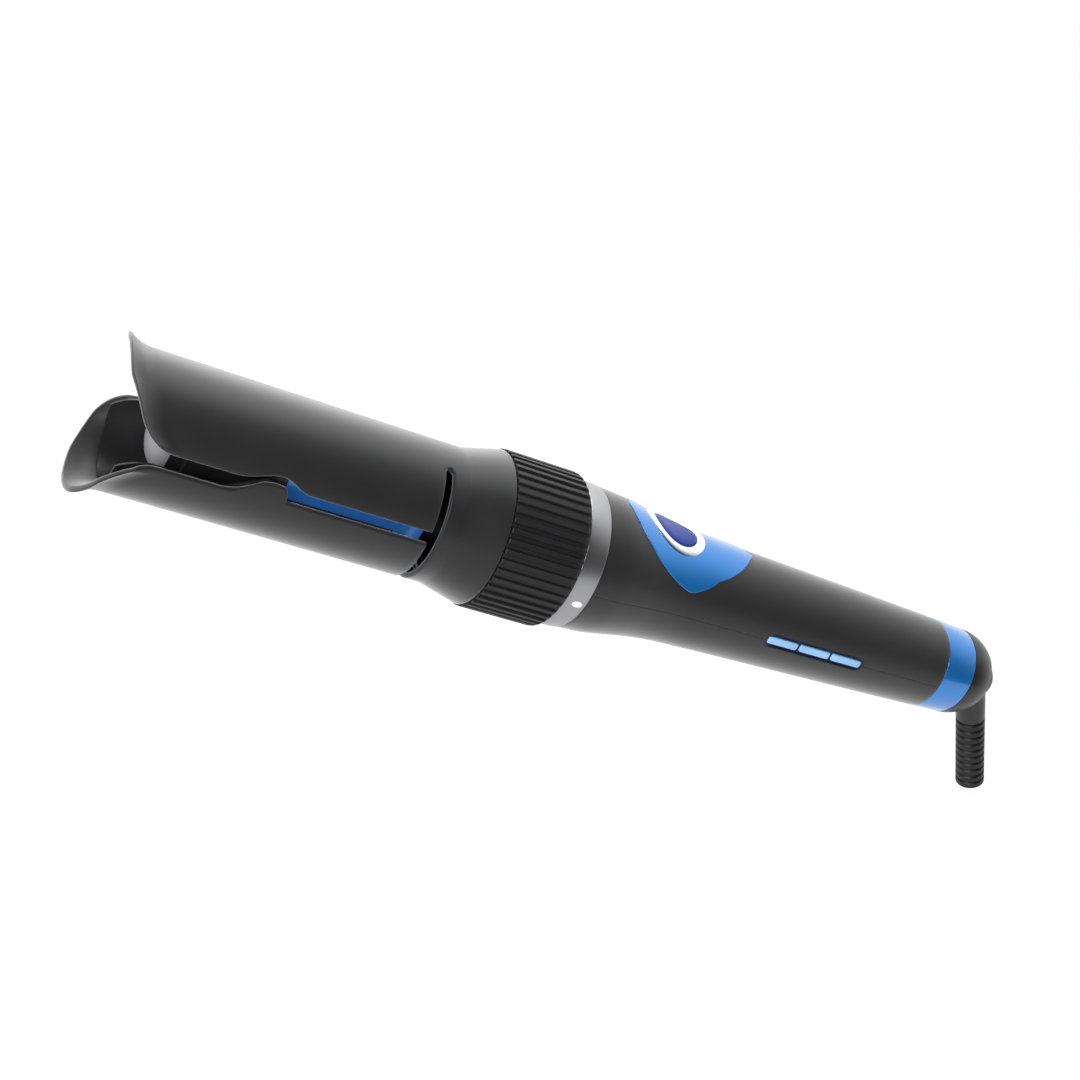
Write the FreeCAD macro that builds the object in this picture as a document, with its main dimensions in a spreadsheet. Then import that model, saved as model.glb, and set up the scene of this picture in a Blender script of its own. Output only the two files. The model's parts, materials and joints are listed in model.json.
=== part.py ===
import FreeCAD, Part
import math
import os

import Sketcher

# Automatic hair curler: a two-petal guard round a turning heated barrel, a ribbed twist ring, a slim
# handle with its controls, and a swivelling cord boot. Millimetres. The tool's own coordinates run
# along its axis: X = 0 at the tip of the lower lip, +X towards the cord, +Z up through the shield
# panel. Every sub-part's Placement then moves the tool so that the document's origin lies at the
# middle of its bounding box, on the level of its lowest point.

# ---------------------------------------------------------------------------------------------------
# Driving dimensions
# ---------------------------------------------------------------------------------------------------

DIMENSIONS = {
    # guard: the sleeve formed by the upper and the lower petal
    "sleeve_r": 24.4,           # outer radius of both petals
    "sleeve_wall": 2.2,
    "liner_wall": 0.9,
    "lip_flare": 3.2,           # how far the lips flare beyond the sleeve's radius
    "flare_length": 9.0,        # how far behind its own lip each petal starts to flare
    "upper_setback": 4.2,       # the upper lip stops this far behind the lower one
    "jaw_length": 114.7,        # lower petal, lip to rear edge
    "slot_top": 4.1,            # level of the upper petal's edge
    "slot_low": 0.3,            # depth of the lower petal's edge below the axis, behind the hump
    "slot_front": 1.8,          # the same depth in front of the hump
    "mouth_upper": 22.8,        # length of the upper lip's side cut
    "mouth_lower": 22.0,        # length of the lower lip's side cut
    "corner_run": 15.5,         # the rounded inner corner of each side cut
    "corner_rise": 9.0,
    "lip_high": 24.8,           # height above the axis at which the upper lip's cut starts
    "lip_low": 26.3,            # depth below the axis at which the lower lip's cut starts
    "hump_place": 56.0,         # the hump that holds the strand back, from the lower lip
    "hump_ramp": 12.5,
    "hump_length": 6.5,
    "hump_heel": 1.2,
    "hump_rise": 5.0,           # above the lower petal's edge behind it
    "notch_ramp": 8.5,          # the upper petal's edge arches over the hump
    "notch_lag": 3.0,
    "notch_heel": 6.5,
    "notch_rise": 3.6,
    "liner_setback": 10.0,
    "slit": 2.8,                # gap between the lower petal and the collar
    "slit_top": 22.3,           # level of the slit's closed end
    # collar, twist ring and band
    "collar_length": 22.0,
    "collar_straight": 6.0,
    "collar_rim": 4.3,          # height of the collar's rear face above the neck tube
    "socket_depth": 8.0,        # how far the neck tube reaches into the collar
    "ring_length": 30.0,
    "ring_wall": 4.4,
    "ring_gap": 0.3,
    "ring_round": 1.2,
    "rib_count": 48,
    "rib_groove_r": 0.85,
    "band_length": 8.5,
    "band_front_wall": 3.0,     # above the neck tube
    "band_rear_wall": 2.5,
    "dot_r": 1.5,
    "dot_angle": 101.0,         # direction of the index dot, about the axis from +Z
    "dot_setback": 5.0,
    # neck tube and what it carries
    "neck_r": 24.0,
    "neck_wall": 1.7,
    "neck_reach": 7.5,          # how far the neck tube reaches into the handle
    "plate_thick": 4.0,
    "plate_setback": 2.0,
    "motor_plate_thick": 2.5,
    "bush_wall": 2.0,
    "detent_r": 1.5,
    "spacer_r": 2.2,
    "spacer_inset": 4.3,        # spacer centres inside the neck tube's bore
    "screw_r": 1.3,
    "screw_head_r": 2.4,
    "screw_head": 1.8,
    # barrel and its drive
    "barrel_r": 15.0,
    "barrel_wall": 1.5,
    "barrel_front": 31.5,
    "tip_length": 12.0,
    "tip_r": 13.0,
    "spigot_length": 5.0,
    "hub_disc": 5.0,
    "hub_r": 8.5,
    "running_gap": 0.1,         # radial clearance of a shaft in its bush
    "free_gap": 0.4,            # clearance between bodies that never touch
    "neck_modules": 30,         # the neck tube's radius, in modules of the gears
    "gear_teeth": 30,
    "pinion_teeth": 10,
    "gear_width": 5.0,
    "pinion_margin": 0.2,
    "tooth_tip_half": 0.24,
    "tooth_root_half": 0.72,
    "tooth_up": 0.72,
    "tooth_down": 1.05,
    "tooth_sink": 0.3,          # how far a tooth reaches into its blank
    "motor_gap": 0.7,           # between the motor and the neck tube's bore
    "motor_length": 32.0,
    "shaft_r": 1.5,
    "spindle_r": 5.2,
    "spindle_bore_r": 3.6,
    "nose_gap": 2.0,
    "head_r": 12.6,
    "head_gap": 2.1,            # between the heat head and the hub's disc
    "heater_wall": 1.0,
    "heater_margin": 4.0,       # how far the heater stays inside each end of the head
    "thermostat_r": 2.0,
    "thermostat_length": 8.0,
    "hook_place": 14.0,
    "hook_length": 11.0,
    "hook_width": 2.4,
    "hook_rise": 3.4,
    # jaw hinge
    "hinge_setback": 4.0,       # pin axis behind the collar's front edge
    "hinge_drop": 17.5,         # pin axis below the tool's axis
    "hinge_pin_r": 1.25,
    "hinge_pin_length": 30.0,
    "hinge_eye_r": 2.6,
    "arm_half_width": 6.0,
    "arm_low": 19.2,
    "arm_high": 16.2,
    "arm_root": 12.0,
    "arm_sink": 2.9,
    "arm_sink_length": 9.5,
    "eye_slot": 7.0,
    "spring_wire_r": 0.4,
    "spring_turns": 5,
    "spring_pitch": 1.0,
    "spring_leg": 8.0,
    # handle
    "handle_length": 160.8,
    "neck_gap": 0.3,            # between the neck tube and the handle's shells
    "shoulder_length": 18.5,
    "shoulder_rise": 0.5,       # the shoulder's radius above the neck tube's
    "saddle_length": 27.0,
    "saddle_arc": 170.0,
    "waist_r": 21.6,
    "tail_r": 17.8,
    "shell_wall": 2.0,
    "boss_r": 3.2,
    "front_boss": 14.5,         # screw places, behind the handle's front edge
    "middle_boss": 124.0,
    "rear_boss": 148.0,
    "screw_reach": 9.0,
    # shield panel and start button
    "shield_front": 10.3,       # behind the handle's front edge
    "shield_length": 56.2,
    "shield_half_width": 20.3,
    "shield_shoulder": 17.0,
    "shield_widest": 29.0,
    "panel_thick": 1.0,
    "panel_proud": 0.35,
    "start_place": 31.5,        # behind the handle's front edge
    "start_r": 9.0,
    "bezel_r": 12.8,
    "bezel_proud": 0.6,
    "key_gap": 0.3,
    "start_thick": 2.6,
    "start_travel": 1.2,
    "stem_r": 2.5,
    # side keys
    "keys_place": 99.5,         # middle of the row, behind the handle's front edge
    "keys_length": 46.0,
    "keys_height": 5.4,
    "key_space": 1.1,           # between two keys
    "key_height": 3.4,
    "keys_margin": 1.0,         # how much longer the recess is than three keys' pitches
    "key_thick": 3.0,
    "key_travel": 0.8,
    "frame_sunk": 0.7,
    "frame_thick": 1.4,
    # boards and switches
    "board_level": 6.0,
    "board_thick": 1.6,
    "board_front": 22.0,
    "board_length": 92.0,
    "board_half_width": 15.0,
    "key_board_place": 11.0,
    "switch_side": 6.0,
    "switch_height": 3.6,
    "clamp_length": 7.0,
    "clamp_setback": 9.0,
    "clamp_level": 6.5,
    "clamp_half_width": 7.0,
    # tail and swivel
    "rear_band_length": 13.9,
    "rear_band_r": 17.3,
    "rear_wall": 1.8,
    "cap_length": 11.8,
    "cap_end_r": 13.2,
    "ball_r": 8.7,
    "ball_place": 1.0,          # ball centre beyond the cap's end
    "journal_r": 5.5,
    "journal_length": 19.0,
    "clip_r": 8.0,
    "clip_thick": 1.4,
    "boot_angle": 55.5,         # how far the boot hangs below the axis
    "boot_r": 5.9,
    "boot_neck": 21.0,
    "boot_ribs": 10,
    "boot_pitch": 3.5,
    "boot_groove": 1.1,
    "boot_groove_depth": 1.0,
    "cord_bore_r": 3.3,
}


class Size:
    """A length with its value in mm and the sheet expression that drives it."""

    def __init__(self, value, text):
        self.value = float(value)
        self.text = text

    @staticmethod
    def of(other):
        return other if isinstance(other, Size) else Size(other, repr(other))

    def join(self, sign, other, value):
        return Size(value, "({} {} {})".format(self.text, sign, Size.of(other).text))

    def __add__(self, other):
        return self.join("+", other, self.value + Size.of(other).value)

    def __sub__(self, other):
        return self.join("-", other, self.value - Size.of(other).value)

    def __mul__(self, other):
        return self.join("*", other, self.value * Size.of(other).value)

    def __truediv__(self, other):
        return self.join("/", other, self.value / Size.of(other).value)

    def __radd__(self, other):
        return Size.of(other) + self

    def __rsub__(self, other):
        return Size.of(other) - self

    def __rmul__(self, other):
        return Size.of(other) * self

    def __rtruediv__(self, other):
        return Size.of(other) / self

    def __neg__(self):
        return Size(-self.value, "(0 - {})".format(self.text))

    def root(self):
        return Size(math.sqrt(self.value), "sqrt({})".format(self.text))

    def sin(self):
        return Size(math.sin(math.radians(self.value)), "sin({} * 1 deg)".format(self.text))

    def cos(self):
        return Size(math.cos(math.radians(self.value)), "cos({} * 1 deg)".format(self.text))


class Driving:
    """The driving dimensions by name, each one a Size that reads its cell of the sheet."""

    def __init__(self, document, values):
        sheet = document.addObject("Spreadsheet::Sheet", "Dims")
        for row, (name, value) in enumerate(values.items(), start=1):
            sheet.set("A{}".format(row), name)
            sheet.set("B{}".format(row), str(value))
            sheet.setAlias("B{}".format(row), name)
            setattr(self, name, Size(value, "Dims.{}".format(name)))
        document.recompute()


doc = FreeCAD.newDocument("hair_curler")
d = Driving(doc, DIMENSIONS)
SUBPARTS = []

# ---------------------------------------------------------------------------------------------------
# Stations along the axis, from the lower lip's tip
# ---------------------------------------------------------------------------------------------------

COLLAR = d.jaw_length + d.slit
RING = COLLAR + d.collar_length
BAND = RING + d.ring_length
HANDLE = BAND + d.band_length
REAR_BAND = HANDLE + d.handle_length
CAP = REAR_BAND + d.rear_band_length
CAP_END = CAP + d.cap_length
PIVOT = CAP_END + d.ball_place
SHOULDER = HANDLE + d.shoulder_length
WAIST = SHOULDER + d.saddle_length
HINGE = COLLAR + d.hinge_setback
NECK = RING - d.socket_depth
NECK_END = HANDLE + d.neck_reach
GEAR_PLATE = NECK + d.plate_setback
GEAR = GEAR_PLATE + d.plate_thick + d.bush_wall + d.free_gap
MOTOR_PLATE = GEAR + d.gear_width + d.free_gap + d.bush_wall
BARREL_END = d.jaw_length + d.free_gap
BOOT_LENGTH = d.boot_neck + d.boot_ribs * d.boot_pitch

# the box of the whole tool: the boot's end is its last and its lowest corner
LENGTH = PIVOT + BOOT_LENGTH * d.boot_angle.cos() + d.boot_r * d.boot_angle.sin()
LEVEL = BOOT_LENGTH * d.boot_angle.sin() + d.boot_r * d.boot_angle.cos()
MIDDLE = LENGTH / 2

# radii that several pieces share
LINER_R = d.sleeve_r - d.sleeve_wall
CHAMBER_R = LINER_R - d.liner_wall
NECK_BORE = d.neck_r - d.neck_wall
BARREL_BORE = d.barrel_r - d.barrel_wall
FLARE_ARC = (d.flare_length * d.flare_length + d.lip_flare * d.lip_flare) / (2 * d.lip_flare)
COLLAR_END_R = d.neck_r + d.collar_rim
RING_R = d.neck_r + d.ring_gap + d.ring_wall
BAND_FRONT_R = d.neck_r + d.band_front_wall
BAND_REAR_R = d.neck_r + d.band_rear_wall
HANDLE_FRONT_R = d.neck_r + d.neck_gap + d.shell_wall
SHOULDER_R = d.neck_r + d.shoulder_rise
SPACER_RING_R = NECK_BORE - d.spacer_inset
GEAR_MODULE = d.neck_r / d.neck_modules
GEAR_R = GEAR_MODULE * d.gear_teeth / 2
PINION_R = GEAR_MODULE * d.pinion_teeth / 2
DRIVE_OFFSET = GEAR_R + PINION_R
MOTOR_R = NECK_BORE - DRIVE_OFFSET - d.motor_gap

# ---------------------------------------------------------------------------------------------------
# Helpers
# ---------------------------------------------------------------------------------------------------


def value_of(size):
    return Size.of(size).value


def bind(thing, path, size):
    """Drive one property of an object by a sheet expression."""
    thing.setExpression(path, Size.of(size).text)


def place(thing, at=(0, 0, 0), turn=None, in_tool=True):
    """Place an object at a point of the tool's frame; turn is (axis, angle)."""
    if turn:
        thing.Placement = FreeCAD.Placement(FreeCAD.Vector(), FreeCAD.Rotation(turn[0], value_of(turn[1])))
        if isinstance(turn[1], Size):
            bind(thing, "Placement.Rotation.Angle", turn[1])
    shift = (-MIDDLE, 0, LEVEL) if in_tool else (0, 0, 0)
    for letter, here, move in zip("xyz", at, shift):
        bind(thing, "Placement.Base." + letter, Size.of(here) + move)
    return thing


def sub_part(thing, name, at=(0, 0, 0), turn=None):
    """Label an object as a sub-part and place it in the document's frame."""
    thing.Label = name
    place(thing, at, turn)
    SUBPARTS.append(thing)
    return thing


def tool_body(name):
    """A PartDesign body in the tool's own coordinates."""
    return doc.addObject("PartDesign::Body", name)


def origin_feature(body, role):
    return [item for item in body.Origin.OriginFeatures if item.Role == role][0]


def new_sketch(body, role, offset=None):
    """A sketch on one of the body's own planes, moved along the plane's normal by offset."""
    sketch = body.newObject("Sketcher::SketchObject", body.Name + "_sketch")
    sketch.AttachmentSupport = [(origin_feature(body, role), "")]
    sketch.MapMode = "FlatFace"
    if offset is not None:
        bind(sketch, "AttachmentOffset.Base.z", offset)
    return sketch


def arc_between(start, end, radius):
    """A circle's arc from start to end; a positive radius has its centre to the left of travel."""
    middle = (start + end) * 0.5
    half = (end - start) * 0.5
    left = FreeCAD.Vector(-half.y, half.x, 0).normalize()
    rise = math.sqrt(radius * radius - half.Length * half.Length)
    centre = middle + left * (rise if radius > 0 else -rise)
    first, last = (start, end) if radius > 0 else (end, start)
    angles = [math.atan2(p.y - centre.y, p.x - centre.x) for p in (first, last)]
    circle = Part.Circle(centre, FreeCAD.Vector(0, 0, 1), abs(radius))
    return Part.ArcOfCircle(circle, angles[0], angles[1])


def outline(sketch, corners):
    """Draw a closed outline. A corner is (x, y) or (x, y, radius of the arc that leaves it)."""
    points = [FreeCAD.Vector(value_of(c[0]), value_of(c[1]), 0) for c in corners]
    shapes, ends = [], []
    for index, corner in enumerate(corners):
        start, end = points[index], points[(index + 1) % len(points)]
        radius = value_of(corner[2]) if len(corner) == 3 else 0
        shapes.append(arc_between(start, end, radius) if radius else Part.LineSegment(start, end))
        ends.append((2, 1) if radius < 0 else (1, 2))
    sketch.addGeometry(shapes, False)
    rules = []
    for geo, corner in enumerate(corners):
        after = (geo + 1) % len(corners)
        rules.append((("Coincident", geo, ends[geo][1], after, ends[after][0]), None))
        rules.append((("DistanceX", -1, 1, geo, ends[geo][0]), Size.of(corner[0])))
        rules.append((("DistanceY", -1, 1, geo, ends[geo][0]), Size.of(corner[1])))
        if len(corner) == 3:
            radius = Size.of(corner[2])
            rules.append((("Radius", geo), -radius if radius.value < 0 else radius))
    return constrain(sketch, rules)


def ring_outline(sketch, across, up, radius):
    """Draw a circle with its centre at (across, up)."""
    centre = FreeCAD.Vector(value_of(across), value_of(up), 0)
    sketch.addGeometry(Part.Circle(centre, FreeCAD.Vector(0, 0, 1), value_of(radius)), False)
    return constrain(sketch, [
        (("Radius", 0), Size.of(radius)),
        (("DistanceX", -1, 1, 0, 3), Size.of(across)),
        (("DistanceY", -1, 1, 0, 3), Size.of(up)),
    ])


def constrain(sketch, rules):
    """Add all constraints at once, then bind each measured one to its size."""
    constraints = []
    for words, size in rules:
        words = words if size is None else words + (size.value,)
        constraints.append(Sketcher.Constraint(*words))
    sketch.addConstraint(constraints)
    for index, (_, size) in enumerate(rules):
        if size is not None:
            sketch.setExpression("Constraints[{}]".format(index), size.text)
    return sketch


def revolve(body, corners, role="XZ_Plane", angle=360, reverse=False):
    """Turn an outline about the X axis."""
    sketch = outline(new_sketch(body, role), corners)
    feature = body.newObject("PartDesign::Revolution", body.Name + "_turned")
    feature.Profile = sketch
    feature.ReferenceAxis = (sketch, ["H_Axis"])
    feature.Angle = angle
    feature.Reversed = reverse
    return feature


def turned(name, corners, at=(0, 0, 0), turn=None):
    """A sub-part that is one solid of revolution about the X axis."""
    body = tool_body(name)
    revolve(body, corners)
    return sub_part(body, name, at, turn)


def extrude(body, kind, sketch, length, both=False, reverse=False):
    """Pad or pocket a sketch; both puts half the length on each side of its plane."""
    feature = body.newObject("PartDesign::" + kind, body.Name + "_" + kind.lower())
    feature.Profile = sketch
    bind(feature, "Length", length)
    feature.Midplane = both
    feature.Reversed = reverse
    return feature


def polar(body, feature, count):
    """Repeat a feature round the X axis."""
    pattern = body.newObject("PartDesign::PolarPattern", body.Name + "_pattern")
    pattern.Originals = [feature]
    pattern.Axis = (origin_feature(body, "X_Axis"), [""])
    pattern.Angle = 360
    bind(pattern, "Occurrences", count)
    body.Tip = pattern
    return pattern


def cylinder(name, radius, length, at, turn=None):
    """A Part cylinder in the tool's coordinates; without a turn it stands along +Z."""
    thing = doc.addObject("Part::Cylinder", name)
    bind(thing, "Radius", radius)
    bind(thing, "Height", length)
    return place(thing, at, turn, in_tool=False)


def block(name, low, high):
    """A Part box in the tool's coordinates, from its low corner to its high corner."""
    thing = doc.addObject("Part::Box", name)
    for side, start, end in zip(("Length", "Width", "Height"), low, high):
        bind(thing, side, Size.of(end) - start)
    return place(thing, low, in_tool=False)


def cut(name, base, tool):
    thing = doc.addObject("Part::Cut", name)
    thing.Base, thing.Tool = base, tool
    return thing


def common(name, base, tool):
    thing = doc.addObject("Part::Common", name)
    thing.Base, thing.Tool = base, tool
    return thing


def group(name, things, kind="Part::MultiFuse"):
    """Join solids into one (MultiFuse), or keep them apart in one compound (Compound)."""
    thing = doc.addObject(kind, name)
    if kind == "Part::Compound":
        thing.Links = things
    else:
        thing.Shapes = things
    return thing


ALONG_X = (FreeCAD.Vector(0, 1, 0), 90)
ALONG_Y = (FreeCAD.Vector(1, 0, 0), -90)
SPAN = 4 * RING_R             # a length or width that clears the whole section

# ---------------------------------------------------------------------------------------------------
# Guard: the two petals, their liners and the collar
# ---------------------------------------------------------------------------------------------------


def lip_r(depth):
    """Radius of a petal's flared lip, for the surface that lies depth inside the outer one."""
    arc = FLARE_ARC + depth
    return d.sleeve_r - depth + arc - (arc * arc - d.flare_length * d.flare_length).root()


def petal_shell(front, rear):
    """Outline of a petal's wall, which flares towards its lip."""
    flare_end = front + d.flare_length
    return [
        (front, lip_r(d.sleeve_wall), FLARE_ARC + d.sleeve_wall),
        (flare_end, LINER_R),
        (rear, LINER_R),
        (rear, d.sleeve_r),
        (flare_end, d.sleeve_r, -FLARE_ARC),
        (front, lip_r(Size(0, "0"))),
    ]


def tangent_arc(run, rise):
    """Radius of an arc that leaves a straight run and rises by rise over its length."""
    return (run * run + rise * rise) / (2 * rise)


def upper_cut(rear):
    """What lies below the upper petal, seen from the side, back to a rear station."""
    mouth_end = d.upper_setback + d.mouth_upper
    arch = d.slot_top + d.notch_rise
    hump_end = d.hump_place + d.hump_length
    return [
        (d.upper_setback - d.sleeve_r, d.lip_high),
        (d.upper_setback, d.lip_high),
        (mouth_end - d.corner_run, d.slot_top + d.corner_rise, tangent_arc(d.corner_run, d.corner_rise)),
        (mouth_end, d.slot_top),
        (d.hump_place - d.notch_ramp, d.slot_top),
        (d.hump_place + d.notch_lag, arch),
        (hump_end, arch),
        (hump_end + d.notch_heel, d.slot_top),
        (rear, d.slot_top),
        (rear, -SPAN / 2),
        (d.upper_setback - d.sleeve_r, -SPAN / 2),
    ]


def build_upper_guard():
    """Collar and upper petal in one moulding: a turned sleeve, cut away below the slot and the slit."""
    body = tool_body("upper_guard")
    shell = petal_shell(d.upper_setback, COLLAR + d.collar_straight)
    front, flare_end_in, _, _, flare_end_out, lip = shell
    revolve(body, [
        front,
        flare_end_in,
        (NECK, LINER_R),
        (NECK, d.neck_r),
        (RING, d.neck_r),
        (RING, COLLAR_END_R),
        (COLLAR + d.collar_straight, d.sleeve_r),
        flare_end_out,
        lip,
    ])
    lower = upper_cut(d.jaw_length)
    end = d.slit / 2
    lower[-3:-1] = [
        (d.jaw_length, d.slot_top),
        (d.jaw_length, d.slit_top - end, -end),
        (d.jaw_length + end, d.slit_top, -end),
        (COLLAR, d.slit_top - end),
        (COLLAR, -SPAN / 2),
    ]
    sketch = outline(new_sketch(body, "XZ_Plane"), lower)
    extrude(body, "Pocket", sketch, SPAN, both=True)
    return sub_part(body, "upper_guard")


def build_upper_liner():
    body = tool_body("upper_liner")
    front = d.upper_setback + d.liner_setback
    revolve(body, tube_outline(front, d.jaw_length, CHAMBER_R, LINER_R))
    sketch = outline(new_sketch(body, "XZ_Plane"), upper_cut(d.jaw_length + d.slit))
    extrude(body, "Pocket", sketch, SPAN, both=True)
    return sub_part(body, "upper_liner")


def jaw_cut(rear):
    """What lies above the lower petal, seen from the side."""
    front_edge, rear_edge = -d.slot_front, -d.slot_low
    hump_end = d.hump_place + d.hump_length
    hump_top = d.hump_rise - d.slot_low
    corner = (d.mouth_lower - d.corner_run, front_edge - d.corner_rise)
    return [
        (d.slit * -1, -d.lip_low),
        (0, -d.lip_low),
        corner + (-tangent_arc(d.corner_run, d.corner_rise),),
        (d.mouth_lower, front_edge),
        (d.hump_place - d.hump_ramp, front_edge),
        (d.hump_place, hump_top),
        (hump_end, hump_top),
        (hump_end + d.hump_heel, rear_edge),
        (rear, rear_edge),
        (rear, SPAN / 2),
        (d.slit * -1, SPAN / 2),
    ]


def build_lower_jaw():
    """Lower petal with the arm that carries it on the hinge pin inside the collar."""
    body = tool_body("jaw_shell")
    revolve(body, petal_shell(Size(0, "0"), d.jaw_length))
    sketch = outline(new_sketch(body, "XZ_Plane"), jaw_cut(d.jaw_length + d.slit))
    extrude(body, "Pocket", sketch, SPAN, both=True)
    half = d.arm_half_width
    root = d.jaw_length - d.arm_root
    arm = block("jaw_arm", (root, -half, -d.arm_low), (HINGE, half, -d.arm_high))
    sink = block("jaw_arm_root", (root, -half, -d.arm_low - d.arm_sink),
                 (root + d.arm_sink_length, half, -d.arm_low))
    eye = cylinder("jaw_eye", d.hinge_eye_r, 2 * half, (HINGE, -half, -d.hinge_drop), ALONG_Y)
    joined = group("jaw_joined", [body, arm, sink, eye])
    hole = cylinder("jaw_hole", d.hinge_pin_r + d.running_gap, 2 * half + 2,
                    (HINGE, -half - 1, -d.hinge_drop), ALONG_Y)
    slot_half = d.eye_slot / 2
    reach = d.hinge_eye_r + 2
    slot = block("jaw_eye_slot", (HINGE - reach, -slot_half, -d.hinge_drop - reach),
                 (HINGE + reach, slot_half, -d.hinge_drop + reach))
    return sub_part(cut("lower_jaw", joined, group("jaw_cuts", [hole, slot])), "lower_jaw")


def build_jaw_liner():
    body = tool_body("jaw_liner")
    rear = d.jaw_length - d.arm_root - d.free_gap
    revolve(body, tube_outline(d.liner_setback, rear, CHAMBER_R, LINER_R))
    sketch = outline(new_sketch(body, "XZ_Plane"), jaw_cut(d.jaw_length))
    extrude(body, "Pocket", sketch, SPAN, both=True)
    return sub_part(body, "jaw_liner")


def build_jaw_spring():
    """Torsion spring on the hinge pin, between the two eyes, with its legs fore and aft."""
    wire, pitch = d.spring_wire_r, d.spring_pitch
    radius = d.hinge_pin_r + d.running_gap + 2 * wire
    height = pitch * d.spring_turns
    helix = doc.addObject("Part::Helix", "jaw_spring_path")
    bind(helix, "Radius", radius)
    bind(helix, "Pitch", pitch)
    bind(helix, "Height", height)
    ring = doc.addObject("Part::Circle", "jaw_spring_wire")
    bind(ring, "Radius", wire)
    place(ring, (radius, 0, 0), (FreeCAD.Vector(1, 0, 0), 90), in_tool=False)
    sweep = doc.addObject("Part::Sweep", "jaw_spring_coil")
    sweep.Sections = [ring]
    sweep.Spine = (helix, ["Edge1"])
    sweep.Solid, sweep.Frenet = True, True
    legs = [
        cylinder("jaw_spring_leg_fore", wire, d.spring_leg, (radius, 0, 0), (FreeCAD.Vector(1, 0, 0), 90)),
        cylinder("jaw_spring_leg_aft", wire, d.spring_leg / 2, (radius, 0, height),
                 (FreeCAD.Vector(1, 0, 0), -90)),
    ]
    spring = group("jaw_spring", [sweep] + legs)
    turn = (FreeCAD.Rotation(FreeCAD.Vector(1, 0, 0), -90).multiply(
        FreeCAD.Rotation(FreeCAD.Vector(0, 0, 1), -90)))
    at = (HINGE, -height / 2, -d.hinge_drop)
    return sub_part(spring, "jaw_spring", at, (turn.Axis, math.degrees(turn.Angle)))


def build_guard():
    build_upper_guard()
    build_upper_liner()
    build_lower_jaw()
    build_jaw_liner()
    build_jaw_spring()
    half = d.hinge_pin_length / 2
    pin = cylinder("jaw_hinge_pin", d.hinge_pin_r, d.hinge_pin_length, (0, 0, 0))
    sub_part(pin, "jaw_hinge_pin", (HINGE, -half, -d.hinge_drop), ALONG_Y)


# ---------------------------------------------------------------------------------------------------
# Barrel, heater and drive
# ---------------------------------------------------------------------------------------------------


def tube_outline(front, rear, inner, outer):
    return [(front, inner), (rear, inner), (rear, outer), (front, outer)]


def tooth(body, station, pitch_r, width):
    """One tooth, standing along +Z on a gear blank, from its root to its tip."""
    low, high = pitch_r - d.tooth_down - d.tooth_sink, pitch_r + d.tooth_up
    sketch = outline(new_sketch(body, "YZ_Plane", station), [
        (-d.tooth_root_half, low), (d.tooth_root_half, low),
        (d.tooth_tip_half, high), (-d.tooth_tip_half, high),
    ])
    return extrude(body, "Pad", sketch, width)


def build_gear(name, station, pitch_r, width, bore, teeth, at, turn=None):
    body = tool_body(name)
    revolve(body, tube_outline(station, station + width, bore, pitch_r - d.tooth_down))
    doc.recompute()
    polar(body, tooth(body, station, pitch_r, width), teeth)
    return sub_part(body, name, at, turn)


def build_barrel():
    """The turning barrel: tube, nose, hub, drive gear and the hook that catches the strand."""
    front, rear = d.barrel_front, BARREL_END
    turned("barrel", tube_outline(front, rear, BARREL_BORE, d.barrel_r))
    tip = front - d.tip_length
    spigot = front + d.spigot_length
    bore = d.spindle_r + d.running_gap
    dome_arc = tangent_arc(d.tip_r, d.tip_length - d.spigot_length)
    turned("barrel_tip", [
        (tip, 0), (front - d.nose_gap * 2 - d.free_gap, 0), (front - d.nose_gap * 2 - d.free_gap, bore),
        (spigot, bore), (spigot, BARREL_BORE), (front, BARREL_BORE),
        (front, d.tip_r), (front - d.spigot_length, d.tip_r, dome_arc),
    ])
    turned("barrel_hub", [
        (rear - d.hub_disc, d.spindle_r + d.running_gap), (GEAR + d.gear_width, d.spindle_r + d.running_gap),
        (GEAR + d.gear_width, d.hub_r), (rear, d.hub_r), (rear, BARREL_BORE),
        (rear - d.hub_disc, BARREL_BORE),
    ])
    build_gear("drive_gear", GEAR, GEAR_R, d.gear_width, d.hub_r, d.gear_teeth, (0, 0, 0))
    half = d.hook_width / 2
    start = front + d.hook_place
    fin = block("hook_fin", (start, -half, 0), (start + d.hook_length, half, d.barrel_r + d.hook_rise))
    core = cylinder("hook_seat", d.barrel_r, 2 * d.hook_length, (start - d.hook_length / 2, 0, 0), ALONG_X)
    sub_part(cut("hair_hook", fin, core), "hair_hook")


def build_heater():
    """The fixed core inside the barrel: spindle, heat head, heater tube and thermostat."""
    nose = d.barrel_front - d.nose_gap * 2
    spindle_end = MOTOR_PLATE + d.motor_plate_thick
    turned("core_spindle", tube_outline(nose, spindle_end, d.spindle_bore_r, d.spindle_r))
    head = d.barrel_front + d.spigot_length + d.free_gap * 2
    head_end = BARREL_END - d.hub_disc - d.head_gap
    heater_r = d.spindle_r + d.heater_wall
    margin = d.heater_margin
    blank = tool_body("head_blank")
    revolve(blank, [
        (head, d.spindle_r), (head + margin, d.spindle_r), (head + margin, heater_r),
        (head_end - margin, heater_r), (head_end - margin, d.spindle_r), (head_end, d.spindle_r),
        (head_end, d.head_r), (head, d.head_r),
    ])
    pocket_level = (heater_r + d.head_r) / 2
    pocket = cylinder("thermostat_pocket", d.thermostat_r, d.thermostat_length,
                      (head_end - d.thermostat_length, 0, pocket_level), ALONG_X)
    sub_part(cut("heat_head", blank, pocket), "heat_head")
    turned("heater_tube", tube_outline(head + margin, head_end - margin, d.spindle_r, heater_r))
    thermostat = cylinder("thermostat_body", d.thermostat_r, d.thermostat_length, (0, 0, 0))
    sub_part(thermostat, "thermostat", (head_end - d.thermostat_length, 0, pocket_level), ALONG_X)


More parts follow.
